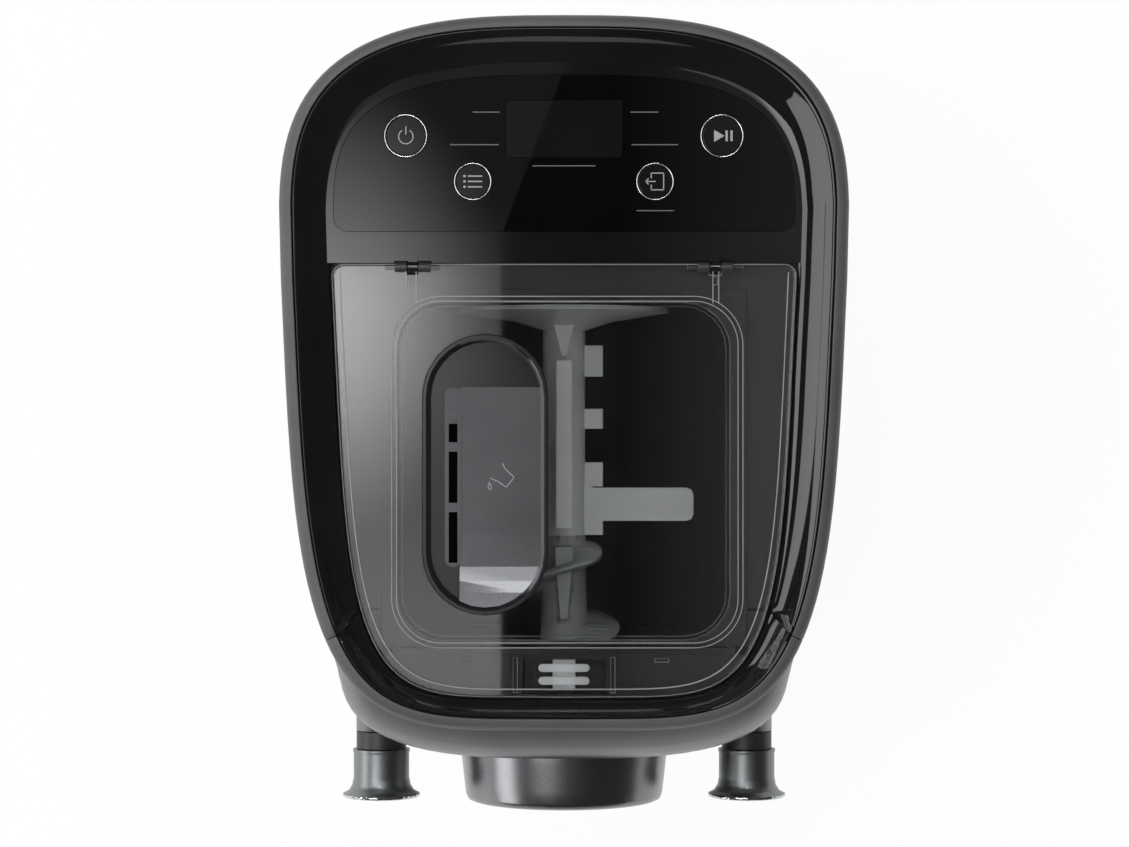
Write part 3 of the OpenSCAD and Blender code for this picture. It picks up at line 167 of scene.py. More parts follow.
@dataclass(frozen=True)
class Finish:
    """A surface finish: a common material and how it was made.

    Attributes:
        name: the material's name.
        colour: main sRGB hex colour.
        tint: second hex colour, for the slight variation over the surface.
        roughness: mean roughness.
        spread: how far the roughness varies.
        grain: size of the fine texture in metres.
        bump: height of the fine texture in metres.
        metallic: 0 or 1.
        ior: index of refraction; metals keep the default.
        coat: weight of a clear gloss coat.
        coat_roughness: roughness of that coat.
        transmission: share of light let through.
        specular: strength of the plain reflection, 0.5 as the index gives it.
        patch: size of the broad patches of tint in metres.
    """

    name: str
    colour: str
    tint: str
    roughness: float = 0.5
    spread: float = 0.05
    grain: float = 0.6 * MM
    bump: float = 0.02 * MM
    metallic: float = 0.0
    ior: float = 1.5
    coat: float = 0.0
    coat_roughness: float = 0.03
    transmission: float = 0.0
    specular: float = 0.5
    patch: float = 0.05

    def build(self) -> bpy.types.Material:
        """Return the finish's material, made once."""
        found = bpy.data.materials.get(self.name)
        if found:
            return found
        material = bpy.data.materials.new(self.name)
        tree = bare_tree(material)
        out = add_node(tree, "ShaderNodeOutputMaterial")
        settings = {
            "Metallic": self.metallic,
            "Coat Weight": self.coat,
            "Coat Roughness": self.coat_roughness,
            "Transmission Weight": self.transmission,
            "Specular IOR Level": self.specular,
        }
        if not self.metallic:
            settings["IOR"] = self.ior
        shader = add_node(tree, "ShaderNodeBsdfPrincipled", settings)
        tree.links.new(shader.outputs[0], out.inputs["Surface"])
        self.surface(tree, shader, add_node(tree, "ShaderNodeTexCoord").outputs["Object"])
        return material

    def surface(self, tree: Tree, shader: Node, place: Socket) -> None:
        """Drive the shader's colour, roughness and bump from fine moulded grain.

        Args:
            tree: the material's node tree.
            shader: its shader.
            place: Object coordinates.
        """
        broad = noise(tree, place, self.patch, 3.0)
        self.colour_by(tree, shader, broad, start=0.35)
        self.roughen(tree, shader, noise(tree, place, self.grain, 2.0), strength=0.35)

    def colour_by(self, tree: Tree, shader: Node, pattern: Socket, start: float) -> None:
        """Let a pattern drive the shader's colour, from the main one at its start to the tint."""
        blend = ramp(tree, pattern, [(start, self.colour), (0.7, self.tint)])
        tree.links.new(blend, shader.inputs["Base Color"])

    def roughen(self, tree: Tree, shader: Node, pattern: Socket, strength: float) -> None:
        """Let a pattern drive the shader's roughness, and its bump at a strength."""
        ends = (self.roughness - self.spread, self.roughness + self.spread)
        tree.links.new(map_range(tree, pattern, (0.0, 1.0), ends), shader.inputs["Roughness"])
        if self.bump:
            settings = {"Strength": strength, "Distance": self.bump}
            bump = add_node(tree, "ShaderNodeBump", settings, {"Height": pattern})
            tree.links.new(bump.outputs["Normal"], shader.inputs["Normal"])


@dataclass(frozen=True)
class Brushed(Finish):
    """Metal or metallic paint with fine lines along one axis.

    Attributes:
        along: 0, 1 or 2 for the axis that the lines follow.
        line: distance between lines in metres.
        stretch: how many times as long as wide a line is.
    """

    along: int = 0
    line: float = 0.4 * MM
    stretch: int = 60

    def surface(self, tree: Tree, shader: Node, place: Socket) -> None:
        """Stretch the noise along the lines, for roughness and bump."""
        scale = [1 / self.line] * 3
        scale[self.along] = 1 / (self.stretch * self.line)
        stretched = add_node(tree, "ShaderNodeMapping", {"Scale": scale}, {"Vector": place})
        lines = noise(tree, stretched.outputs[0], 1.0, 3.0)
        self.colour_by(tree, shader, lines, start=0.3)
        self.roughen(tree, shader, lines, strength=0.3)


class Finishes(Enum):
    """Every finish of the machine, by the piece that it dresses."""

    # Spark-eroded ABS of the outer shell: dark grey, matt, with a fine grain that kills the highlights
    SHELL = Finish("shell_textured_abs", "444546", "4b4c4d", 0.52, 0.06, 0.7 * MM, 0.03 * MM, ior=1.53)
    # Polished ABS of the slope and deck: black and mirror smooth, it shows the room
    GLOSS_DECK = Finish("deck_polished_abs", "0e0e0f", "131314", 0.05, 0.01, 2.5 * MM, 0.0, ior=1.53)
    # Hard-coated acrylic of the control panel: deeper black than the deck
    PANEL = Finish("panel_hard_coated_acrylic", "040405", "060607", 0.012, 0.004, 3 * MM, 0.0, ior=1.49)
    # Smoked window over the display
    DISPLAY = Finish("display_smoked_window", "0f0f10", "121213", 0.02, 0.005, 3 * MM, 0.0, ior=1.49)
    # Injection-moulded black ABS of covers, collars and the lid's hinge
    BLACK = Finish("cover_black_abs", "232425", "2a2b2c", 0.45, 0.06, 0.8 * MM, 0.02 * MM, ior=1.53)
    # Satin polypropylene of the chamber, door and tube
    CHAMBER = Finish(
        "chamber_satin_polypropylene", "232425", "292a2b", 0.42, 0.04, 1.2 * MM, 0.006 * MM, specular=0.3
    )
    # Glossy walls of the pouring well
    WELL = Finish("well_polished_abs", "17181a", "1b1c1e", 0.12, 0.03, 2 * MM, 0.0, ior=1.53)
    # Metallic lacquer on the raised floor of the well
    WELL_FLOOR = Finish(
        "well_floor_metallic_lacquer", "525355", "5b5c5e", 0.26, 0.04, 0.3 * MM, 0.005 * MM, metallic=1.0
    )
    # Glass-filled POM of the kneading shaft and the screw, with a fine speckle
    KNEADER = Finish("kneader_filled_pom", "d2d4d4", "dededf", 0.34, 0.07, 0.35 * MM, 0.03 * MM, ior=1.48)
    SCREW = Finish("screw_filled_pom", "9fa1a2", "adafb0", 0.36, 0.06, 0.4 * MM, 0.025 * MM, ior=1.48)
    # Metallic lacquer on the removable front, its ring and its knobs: grey with fine flakes
    FRONT = Finish(
        "front_metallic_lacquer", "838486", "8e8f91", 0.4, 0.05, 0.3 * MM, 0.008 * MM,
        metallic=1.0, coat=0.1, coat_roughness=0.3,
    )
    RING = Finish(
        "ring_metallic_lacquer", "7c7d7f", "87888a", 0.28, 0.05, 0.3 * MM, 0.006 * MM,
        metallic=1.0, coat=0.15, coat_roughness=0.25,
    )
    KNOB = Finish(
        "knob_metallic_lacquer", "7b7e7f", "888b8c", 0.4, 0.05, 0.3 * MM, 0.006 * MM,
        metallic=1.0, coat=0.15, coat_roughness=0.25,
    )
    # Polished chrome plating: rings of the buttons and the knobs' edge
    CHROME = Finish("trim_polished_chrome", "c4c6c8", "cfd1d3", 0.12, 0.02, 2 * MM, 0.0, metallic=1.0)
    # Satin stainless steel of the latch plate: pale, it spreads the light evenly
    LATCH = Finish("latch_satin_steel", "d4d5d6", "dddedf", 0.5, 0.05, 0.4 * MM, 0.01 * MM, metallic=1.0)
    # Gloss caps of the buttons
    BUTTON = Finish("button_polished_abs", "0c0c0d", "101011", 0.1, 0.02, 2 * MM, 0.0, ior=1.53)
    # Screen print, greyed by the coat over it: the marks, and the fainter lines of the panel
    PRINT = Finish("print_grey_ink", "8a8c8e", "949698", 0.5, 0.03, 0.4 * MM, 0.0)
    PRINT_DIM = Finish("print_dim_ink", "555759", "5e6062", 0.5, 0.03, 0.4 * MM, 0.0)
    # Clear polycarbonate of the lid
    LID = Finish(
        "lid_clear_polycarbonate", "f3f4f4", "f6f7f7", 0.02, 0.005, 4 * MM, 0.0, ior=1.58, transmission=1.0
    )
    # Edges and ribs of the lid: ground finish that scatters light, its pale grey a painted highlight that
    # draws the bright lines
    LID_EDGE_HIGHLIGHT = Finish(
        "lid_edge_frosted_and_painted_highlight", "a3a6a8", "b0b3b5", 0.35, 0.05, 0.4 * MM, 0.01 * MM,
        ior=1.58, transmission=0.45,
    )
    RUBBER = Finish("rubber_moulded", "1a1a1b", "212122", 0.72, 0.06, 0.9 * MM, 0.03 * MM, ior=1.52)
    SEAL = Finish("seal_dark_silicone", "1b1c1d", "222324", 0.55, 0.05, 0.9 * MM, 0.02 * MM, ior=1.41)
    SEAL_RED = Finish("seal_red_silicone", "8a3b2f", "984537", 0.5, 0.05, 0.9 * MM, 0.02 * MM, ior=1.41)
    DISC = Finish("disc_cream_pom", "d8d2c4", "e0dacd", 0.42, 0.05, 0.8 * MM, 0.015 * MM, ior=1.48)
    NYLON = Finish("gear_natural_nylon", "d9d4c6", "e1dcd0", 0.45, 0.06, 0.9 * MM, 0.02 * MM, ior=1.53)
    SOLDER_MASK = Finish("board_green_solder_mask", "1c5c3a", "226744", 0.35, 0.05, 0.5 * MM, 0.01 * MM)
    COPPER = Finish(
        "winding_enamelled_copper", "b0683a", "bd7545", 0.3, 0.06, 0.5 * MM, 0.05 * MM, metallic=1.0
    )
    BRASS = Finish("insert_turned_brass", "b8944a", "c4a157", 0.28, 0.05, 0.4 * MM, 0.01 * MM, metallic=1.0)
    MAGNET = Finish("magnet_sintered_ferrite", "38383a", "404042", 0.6, 0.06, 0.5 * MM, 0.02 * MM)
    CABLE = Finish("cable_grey_pvc", "b4b1a9", "bebbb3", 0.5, 0.05, 1.2 * MM, 0.01 * MM)
    # Turned, ground and brushed metals, with lines along the way that the tool ran
    STEEL = Brushed(
        "shaft_ground_steel", "b4b7ba", "c2c5c8", 0.26, 0.06, bump=0.006 * MM, metallic=1.0, along=1
    )
    PLATE = Brushed(
        "plate_brushed_aluminium", "b6b9bc", "c4c7ca", 0.33, 0.07, bump=0.01 * MM, metallic=1.0, along=2
    )
    MOTOR = Brushed(
        "motor_zinc_plated_steel", "8d9195", "9a9ea2", 0.35, 0.06, bump=0.01 * MM, metallic=1.0, along=1
    )


# ---------------------------------------------------------------- modelling bench


class Bench:
    """Modelling moves that the sub-assemblies share."""

    @staticmethod
    def clear() -> None:
        """Leave edit mode with nothing selected."""
        if bpy.context.object and bpy.context.object.mode != "OBJECT":
            bpy.ops.object.mode_set(mode="OBJECT")
        bpy.ops.object.select_all(action="DESELECT")

    @staticmethod
    def focus(piece: Piece) -> None:
        """Select one piece alone and make it active."""
        Bench.clear()
        piece.select_set(True)
        bpy.context.view_layer.objects.active = piece

    @staticmethod
    def settle(piece: Piece) -> None:
        """Apply the piece's place, turn and scale, so that its object sits at the origin."""
        Bench.focus(piece)
        bpy.ops.object.transform_apply(location=True, rotation=True, scale=True)

    @staticmethod
    def modify(piece: Piece, kind: str, **settings: object) -> None:
        """Add one modifier and apply it.

        Args:
            piece: the object that it changes.
            kind: Blender's name for the modifier.
            settings: the modifier's values.
        """
        Bench.focus(piece)
        modifier = piece.modifiers.new(kind.title().replace("_", ""), kind)
        for name, value in settings.items():
            setattr(modifier, name, value)
        bpy.ops.object.modifier_apply(modifier=modifier.name)

    @staticmethod
    def bevel(piece: Piece, width: float, segments: int = 2, angle: float = 35.0) -> None:
        """Round the piece's sharp edges by a width in metres."""
        limit = {"limit_method": "ANGLE", "angle_limit": math.radians(angle), "use_clamp_overlap": True}
        Bench.modify(piece, "BEVEL", width=width, segments=segments, **limit)

    @staticmethod
    def smooth(piece: Piece, angle: float = 30.0) -> None:
        """Shade the piece smooth, apart from edges sharper than the angle in degrees."""
        Bench.focus(piece)
        bpy.ops.object.shade_smooth_by_angle(angle=math.radians(angle))

    @staticmethod
    def coat(piece: Piece, finish: Finishes) -> None:
        """Give the whole piece one finish."""
        piece.data.materials.clear()
        piece.data.materials.append(finish.value.build())

    @staticmethod
    def pick_faces(piece: Piece, test: Callable[[Face], bool]) -> None:
        """Enter edit mode on the piece with only the faces that pass the test selected."""
        Bench.focus(piece)
        bpy.ops.object.mode_set(mode="EDIT")
        bpy.ops.mesh.select_mode(type="FACE")
        bpy.ops.mesh.select_all(action="DESELECT")
        mesh = bmesh.from_edit_mesh(piece.data)
        for face in mesh.faces:
            face.select_set(test(face))
        bmesh.update_edit_mesh(piece.data)

    @staticmethod
    def paint(piece: Piece, finish: Finishes, test: Callable[[Face], bool]) -> None:
        """Give the faces that pass the test a second finish."""
        piece.data.materials.append(finish.value.build())
        index = len(piece.data.materials) - 1
        Bench.pick_faces(piece, test)
        piece.active_material_index = index
        bpy.ops.object.material_slot_assign()
        bpy.ops.object.mode_set(mode="OBJECT")

    @staticmethod
    def join(pieces: Sequence[Piece], name: str) -> Piece:
        """Join pieces into the first and name it.

        Args:
            pieces: the objects, each settled.
            name: the joined piece's name.

        Returns:
            The joined object.
        """
        Bench.clear()
        for piece in pieces:
            piece.select_set(True)
        bpy.context.view_layer.objects.active = pieces[0]
        bpy.ops.object.join()
        pieces[0].name = name
        pieces[0].data.name = name
        return pieces[0]

    @staticmethod
    def bar(centre: Point, size: Point, turn: float = 0.0, bevel: float = 0.0) -> Piece:
        """Make a block, with rounded edges if it has a bevel.

        Args:
            centre: its middle.
            size: its length along X, Y and Z.
            turn: its turn about Z in degrees.
            bevel: the radius of its edges, or 0.

        Returns:
            The settled object.
        """
        Bench.clear()
        bpy.ops.mesh.primitive_cube_add(size=1.0, location=centre, rotation=(0, 0, math.radians(turn)))
        piece = bpy.context.object
        piece.scale = size
        Bench.settle(piece)
        if bevel:
            Bench.bevel(piece, bevel, 3)
        return piece

    @staticmethod
    def arc(
        centre: Point, radius: float, width: float, height: float, start: float, sweep: float, steps: int = 40
    ) -> Piece:
        """Spin a small square section clockwise round a vertical axis into a ring or an open arc.

        Args:
            centre: the middle of the arc's base.
            radius: to the middle of its width.
            width: of the line.
            height: of the line above the base.
            start: angle of its start in degrees.
            sweep: angle that it covers, 360 for a closed ring.
            steps: sections along it.

        Returns:
            The settled object.
        """
        Bench.clear()
        a = math.radians(start)
        place = (centre[0] + radius * math.cos(a), centre[1] + radius * math.sin(a), centre[2] + height / 2)
        bpy.ops.mesh.primitive_plane_add(size=1.0, location=place, rotation=(math.pi / 2, 0, a))
        piece = bpy.context.object
        piece.scale = (width, height, 1)
        Bench.settle(piece)
        bpy.ops.object.mode_set(mode="EDIT")
        bpy.ops.mesh.select_all(action="SELECT")
        bpy.ops.mesh.spin(steps=steps, angle=math.radians(sweep), center=centre, axis=(0, 0, 1))
        bpy.ops.mesh.select_all(action="SELECT")
        bpy.ops.mesh.remove_doubles(threshold=1e-3 * MM)
        if sweep >= 360:
            bpy.ops.mesh.select_mode(type="FACE")
            bpy.ops.mesh.select_all(action="DESELECT")
            bpy.ops.mesh.select_interior_faces()
            bpy.ops.mesh.delete(type="FACE")
            bpy.ops.mesh.select_all(action="SELECT")
        bpy.ops.mesh.normals_make_consistent(inside=False)
        bpy.ops.object.mode_set(mode="OBJECT")
        return piece

    @staticmethod
    def wedge(centre: Point, radius: float, height: float, turn: float) -> Piece:
        """Make a low three-sided prism, one corner along the turn."""
        Bench.clear()
        bpy.ops.mesh.primitive_cylinder_add(
            vertices=3, radius=radius, depth=height, location=centre, rotation=(0, 0, math.radians(turn - 90))
        )
        piece = bpy.context.object
        Bench.settle(piece)
        Bench.bevel(piece, radius * 0.06, 2)
        return piece


@dataclass
class SubAssembly:
    """Part of the machine that rides on named bodies.

    Attributes:
        pieces: what it has dressed or made, by name.
        weld: packed corners nearer than this become one.
        flat_angle: packed triangles that meet at less, in degrees, become one face before a bevel.
        level: a face whose normal's Z is past this is level, and shades flat.
    """

    pieces: list[str] = field(default_factory=list)
    weld: float = 2e-3 * MM
    flat_angle: float = 0.3
    level: float = 0.99999

    def dress(self, finish: Finishes, *nodes: str) -> None:
        """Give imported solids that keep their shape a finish."""
        for name in nodes:
            Bench.coat(frame["nodes"][name], finish)
            self.pieces.append(name)

    def refine(
        self, node: str, finish: Finishes, bevel: float = 0.0, angle: float = 32.0, segments: int = 2
    ) -> Piece:
        """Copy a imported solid, merge its loose triangles, round its edges and let the copy stand for it.

        Args:
            node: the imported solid's name.
            finish: the copy's finish.
            bevel: radius of its edges in metres, or 0.
            angle: edges sharper than this, in degrees, stay crisp or are rounded.
            segments: steps across a rounded edge.

        Returns:
            The copy.
        """
        source = frame["nodes"][node]
        piece = bpy.data.objects.new(f"{node}_finished", source.data.copy())
        bpy.context.scene.collection.objects.link(piece)
        piece.data.name = piece.name
        Bench.coat(piece, finish)
        Bench.focus(piece)
        bpy.ops.object.mode_set(mode="EDIT")
        bpy.ops.mesh.select_all(action="SELECT")
        bpy.ops.mesh.remove_doubles(threshold=self.weld)
        if bevel:
            bpy.ops.mesh.dissolve_limited(angle_limit=math.radians(self.flat_angle))
        bpy.ops.object.mode_set(mode="OBJECT")
        if bevel:
            Bench.bevel(piece, bevel, segments, angle)
        Bench.smooth(piece, angle)
        Bench.pick_faces(piece, lambda face: abs(face.normal.z) > self.level)
        bpy.ops.mesh.faces_shade_flat()
        bpy.ops.object.mode_set(mode="OBJECT")
        Bench.modify(piece, "WEIGHTED_NORMAL", keep_sharp=True, weight=50)
        self.stand_for(piece, node)
        return piece

    def stand_for(self, piece: Piece, node: str) -> None:
        """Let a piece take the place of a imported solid."""
        self.adopt(piece, BODY_OF[node], SLOT_OF[node])
        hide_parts(node)

    def adopt(self, piece: Piece, body: str, slot: str) -> None:
        """Make a piece ride on a body and list it among the pieces."""
        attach(piece, body)
        self.pieces.append(piece.name)

    def report(self) -> None:
        """Log each piece."""
        for name in self.pieces:
            LOG.info("%s: %s", type(self).__name__, name)


BODY_OF: dict[str, str] = {
    node: body for body, nodes in frame["record"]["behaviour"]["bodies"].items() for node in nodes
}
SLOT_OF: dict[str, str] = {part["node"]: part["material_slot"] for part in frame["record"]["subparts"]}


# ---------------------------------------------------------------- sub-assemblies


@dataclass
class Shell(SubAssembly):
    """Outer shells, feet and the frame inside."""

    def build(self) -> None:
        """Finish the shells that show and dress what is inside."""
        for node in ("housing", "front_cover"):
            self.refine(node, Finishes.SHELL, angle=34.0)
        self.refine("base_plate", Finishes.BLACK, 0.35 * MM)
        for node in ("feet", "cord_gland"):
            self.refine(node, Finishes.RUBBER, angle=40.0)
        self.dress(Finishes.BLACK, "chassis")
        self.dress(Finishes.CHAMBER, "lid_tray")
        self.dress(Finishes.PLATE, "load_cells")
        self.dress(Finishes.STEEL, "screws")
        self.dress(Finishes.BRASS, "knob_inserts")


@dataclass
class Deck(SubAssembly):
    """Glossy slope and deck, control panel, display, buttons and printed marks.

    Attributes:
        line: width of a mark's strokes in millimetres.
        ink: thickness of the print.
        legend: width of the lines in place of the legends.
        ring_width: width of a button's plated ring.
        ring_offset: from a cap's side to the middle of its ring.
        buttons: names of the buttons, from left to right.
    """

    line: float = 0.45
    ink: float = 0.05 * MM
    legend: float = 0.42 * MM
    ring_width: float = 0.7 * MM
    ring_offset: float = 0.45 * MM
    buttons: tuple[str, ...] = ("power", "menu", "extrude", "play")

    def build(self) -> None:
        """Finish the deck and its panel, then print the marks."""
        self.refine("top_deck", Finishes.GLOSS_DECK, angle=40.0)
        self.refine("control_panel", Finishes.PANEL, 0.12 * MM)
        self.refine("display_window", Finishes.DISPLAY, 0.1 * MM)
        self.rings()
        for name in self.buttons:
            self.refine(f"{name}_button", Finishes.BUTTON, 0.35 * MM, 40.0, 3)
        self.dress(Finishes.BLACK, "hinge_pins")
        self.power_mark()
        self.menu_mark()
        self.extrude_mark()
        self.play_mark()
        self.legend_lines()

    def rings(self) -> None:
        """Spin the four plated rings with a rounded top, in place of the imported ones."""
        base, crown = (corner.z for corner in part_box("button_rings"))
        rings = []
        for name in self.buttons:
            low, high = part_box(f"{name}_button")
            centre = ((low.x + high.x) / 2, (low.y + high.y) / 2, base)
            middle = (high.x - low.x) / 2 + self.ring_offset
            ring = Bench.arc(centre, middle, self.ring_width, crown - base, 0, 360, 96)
            Bench.bevel(ring, 0.45 * self.ring_width, 4, 40.0)
            Bench.smooth(ring, 40.0)
            rings.append(ring)
        piece = Bench.join(rings, "button_rings_finished")
        Bench.coat(piece, Finishes.CHROME)
        self.stand_for(piece, "button_rings")

    def top(self, name: str) -> Point:
        """Give the middle of a button's upper face."""
        low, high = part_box(f"{name}_button")
        return ((low.x + high.x) / 2, (low.y + high.y) / 2, high.z)

    def strokes(self, name: str, marks: Sequence[tuple[float, ...]]) -> list[Piece]:
        """Lay flat strokes on a button's cap.

        Args:
            name: the button's name.
            marks: each stroke's middle from the cap's, its size along X and Y in millimetres, and its turn.

        Returns:
            The strokes.
        """
        x, y, z = self.top(name)
        return [
            Bench.bar((x + dx * MM, y + dy * MM, z + self.ink / 2), (wide * MM, long * MM, self.ink), turn)
            for dx, dy, wide, long, turn in marks
        ]

    def marked(self, pieces: Sequence[Piece], name: str) -> None:
        """Join a button's strokes into one mark that rides with the button."""
        mark = Bench.join(pieces, f"{name}_mark")
        Bench.coat(mark, Finishes.PRINT)
        self.adopt(mark, BODY_OF[f"{name}_button"], SLOT_OF["button_rings"])

    def power_mark(self) -> None:
        """Print an open ring with a stroke at its top."""
        x, y, z = self.top("power")
        ring = Bench.arc((x, y - 0.3 * MM, z), 3.1 * MM, self.line * MM, self.ink, 58, 296)
        self.marked([ring, *self.strokes("power", [(0.0, 2.3, self.line, 3.6, 0)])], "power")

    def menu_mark(self) -> None:
        """Print three dots, each with a line."""
        x, y, z = self.top("menu")
        up = z + self.ink / 2
        strokes = []
        for row in (-1, 0, 1):
            centre = y + row * 2.3 * MM
            dot = Bench.bar((x - 3.6 * MM, centre, up), (1.0 * MM, 1.0 * MM, self.ink), bevel=0.02 * MM)
            dash = Bench.bar((x + 0.9 * MM, centre, up), (6.2 * MM, 0.6 * MM, self.ink))
            strokes += [dot, dash]
        self.marked(strokes, "menu")

    def extrude_mark(self) -> None:
        """Print a tub's outline with an arrow that leaves it to the left."""
        wide = self.line
        marks = [
            (3.6, 0.0, wide, 7.4, 0),
            (1.0, 3.6, 5.6, wide, 0),
            (1.0, -3.6, 5.6, wide, 0),
            (-1.7, 2.6, wide, 2.4, 0),
            (-1.7, -2.6, wide, 2.4, 0),
            (-1.9, 0.0, 4.2, wide, 0),
            (-3.5, 0.6, 1.9, wide, 45),
            (-3.5, -0.6, 1.9, wide, -45),
        ]
        self.marked(self.strokes("extrude", marks), "extrude")

    def play_mark(self) -> None:
        """Print a triangle and two upright strokes."""
        x, y, z = self.top("play")
        triangle = Bench.wedge((x - 2.0 * MM, y, z + self.ink / 2), 3.0 * MM, self.ink, 0)
        marks = [(1.9, 0.0, 1.0, 4.6, 0), (4.0, 0.0, 1.0, 4.6, 0)]
        self.marked([triangle, *self.strokes("play", marks)], "play")

    def legend_lines(self) -> None:
        """Print plain short lines where the panel has its legends."""
        low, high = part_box("display_window")
        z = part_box("control_panel")[1].z + self.ink / 2
        middle = (low.y + high.y) / 2
        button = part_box("extrude_button")[0]
        rows = [
            (low.x - 8.5 * MM, middle + 7.2 * MM, 11.5 * MM),
            (low.x - 13.5 * MM, middle - 6.8 * MM, 21.0 * MM),
            (high.x + 9.5 * MM, middle + 7.2 * MM, 12.0 * MM),
            (high.x + 14.0 * MM, middle - 6.8 * MM, 20.0 * MM),
            (0.0, low.y - 3.6 * MM, 27.0 * MM),
            (button.x + 7.4 * MM, button.y - 5.2 * MM, 16.0 * MM),
        ]
        lines = [Bench.bar((x, y, z), (length, self.legend, self.ink)) for x, y, length in rows]
        legend = Bench.join(lines, "panel_legend_lines")
        Bench.coat(legend, Finishes.PRINT_DIM)
        self.adopt(legend, BODY_OF["control_panel"], SLOT_OF["control_panel"])


@dataclass
class Lid(SubAssembly):
    """Clear lid with its pouring well.

    Attributes:
        top: height of the lid's upper face.
        back: Y of the outline's back corners.
        middle: Y of the middle of the curve that the outline's sides and front follow.
        half_width: half the lid's width at its hinge.
        taper: how far the lid narrows towards its front, as a share.
        power: squareness of the lid's front.
        line_inset: distance of the moulded line from the lid's edge.
        line_width: width of that line.
        line_height: height of that line.
        sunk: how deep the moulded lines start in the lid's upper face.
        lift: height of the straight lines' middle over that face.
        rib_x: where the ribs are along X, in millimetres.
        mouth_x: left and right of the line round the opening, in millimetres.
        mouth_y: its front and back, in millimetres.
        mouth_radius: of its corners, in millimetres.
        mouth_gap: from it to its double, in millimetres.
        mouth_line: width and thickness of both.
        hinge_x: how far the hinges are to either side.
        hinge_reach: half a hinge's length.
        hinge_front: Y of the knuckles' front.
        well_depth: depth of the well's floor below its lip.
        well_rise: how far its plate and ramp reach above the floor.
        slit_reach: from the well's left side to the left side of the slit's edge.
    """

    top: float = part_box("lid")[1].z - 0.9 * MM
    back: float = 66.25 * MM
    middle: float = 80.25 * MM
    half_width: float = 100.8 * MM
    taper: float = 0.092
    power: float = 5.6
    line_inset: float = 3.4 * MM
    line_width: float = 0.45 * MM
    line_height: float = 0.12 * MM
    sunk: float = 0.01 * MM
    lift: float = 0.03 * MM
    rib_x: tuple[float, ...] = (-67.8, -63.5, 63.9, 66.4)
    mouth_x: Span = (-74.0, 76.8)
    mouth_y: Span = (-98.6, 52.3)
    mouth_radius: float = 21.0
    mouth_gap: float = 2.1
    mouth_line: Span = (0.34 * MM, 0.08 * MM)
    hinge_x: float = 65 * MM
    hinge_reach: float = 7.6 * MM
    hinge_front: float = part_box("hinge_pins")[0].y - 1.6 * MM
    well_depth: float = 12.0 * MM
    well_rise: float = 6.8 * MM
    slit_reach: float = 9.8 * MM

    def build(self) -> None:
        """Finish the lid, frost its edges pale as a painted highlight and dress the well."""
        self.clear_part()
        self.border()
        self.ribs()
        self.mouth_lines()
        self.well()
        self.dress(Finishes.SEAL, "lid_seal")

    def clear_part(self) -> None:
        """Finish the lid itself, with frosted edges and hooks, pale as a painted highlight, and black hinge
        knuckles.
        """
        lid = self.refine("lid", Finishes.LID, 0.25 * MM, 30.0, 2)
        raised = self.top + 0.3 * MM

        def on_edge(face: Face) -> bool:
            """Tell whether a face stands on edge or belongs to what rises over the lid."""
            return abs(face.normal.z) < 0.93 or face.calc_center_median().z > raised

        # the edges' pale frosted finish is partly a painted highlight
        Bench.paint(lid, Finishes.LID_EDGE_HIGHLIGHT, on_edge)
        Bench.paint(lid, Finishes.BLACK, self.on_knuckle)

    def on_knuckle(self, face: Face) -> bool:
        """Tell whether a face belongs to a hinge knuckle."""
        middle = face.calc_center_median()
        near = abs(abs(middle.x) - self.hinge_x) < self.hinge_reach
        return near and middle.y > self.hinge_front and abs(face.normal.x) < 0.999

    def outline(self, inset: float, count: int = 72) -> list[tuple[float, float]]:
        """Give the lid's outline seen from above, moved in.

        Args:
            inset: distance from the lid's edge.
            count: points along the curved sides and front.

        Returns:
            Points as x and y, from the right hinge corner round the front to the left one.
        """
        back = self.back - inset
        reach = self.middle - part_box("lid")[0].y - inset
        first = math.asin(((self.middle - back) / reach) ** (self.power / 2))
        points = []
        for i in range(count + 1):
            angle = -first - (math.pi - 2 * first) * i / count
            u = (-math.sin(angle)) ** (2 / self.power)
            c = math.cos(angle)
            narrowed = (self.half_width - inset) * (1 - self.taper * u)
            points.append((narrowed * math.copysign(abs(c) ** (2 / self.power), c), self.middle - reach * u))
        return points

    def border(self) -> None:
        """Mould the fine line that runs inside the lid's edge, pale as a painted highlight."""
        outer, inner = self.outline(self.line_inset), self.outline(self.line_inset + self.line_width)
        Bench.clear()
        bpy.ops.mesh.primitive_circle_add(vertices=2 * len(outer), radius=0.1, location=(0, 0, 0))
        line = bpy.context.object
        line.name = "lid_moulded_line"
        line.data.name = line.name
        for vertex, (x, y) in zip(line.data.vertices, outer + inner[::-1], strict=True):
            vertex.co = (x, y, self.top - self.sunk)
        bpy.ops.object.mode_set(mode="EDIT")
        bpy.ops.mesh.select_all(action="SELECT")
        bpy.ops.mesh.edge_face_add()
        bpy.ops.mesh.extrude_region_move(TRANSFORM_OT_translate={"value": (0, 0, self.line_height)})
        bpy.ops.mesh.select_all(action="SELECT")
        bpy.ops.mesh.normals_make_consistent(inside=False)
        bpy.ops.object.mode_set(mode="OBJECT")
        self.fit(line, Finishes.LID_EDGE_HIGHLIGHT)

    def ribs(self) -> None:
        """Mould the short upright ribs that run down from the hinge, pale as a painted highlight."""
        size = (0.36 * MM, 16.6 * MM, 0.1 * MM)
        bars = [Bench.bar((x * MM, 57.6 * MM, self.top + self.lift), size) for x in self.rib_x]
        self.fit(Bench.join(bars, "lid_ribs"), Finishes.LID_EDGE_HIGHLIGHT)

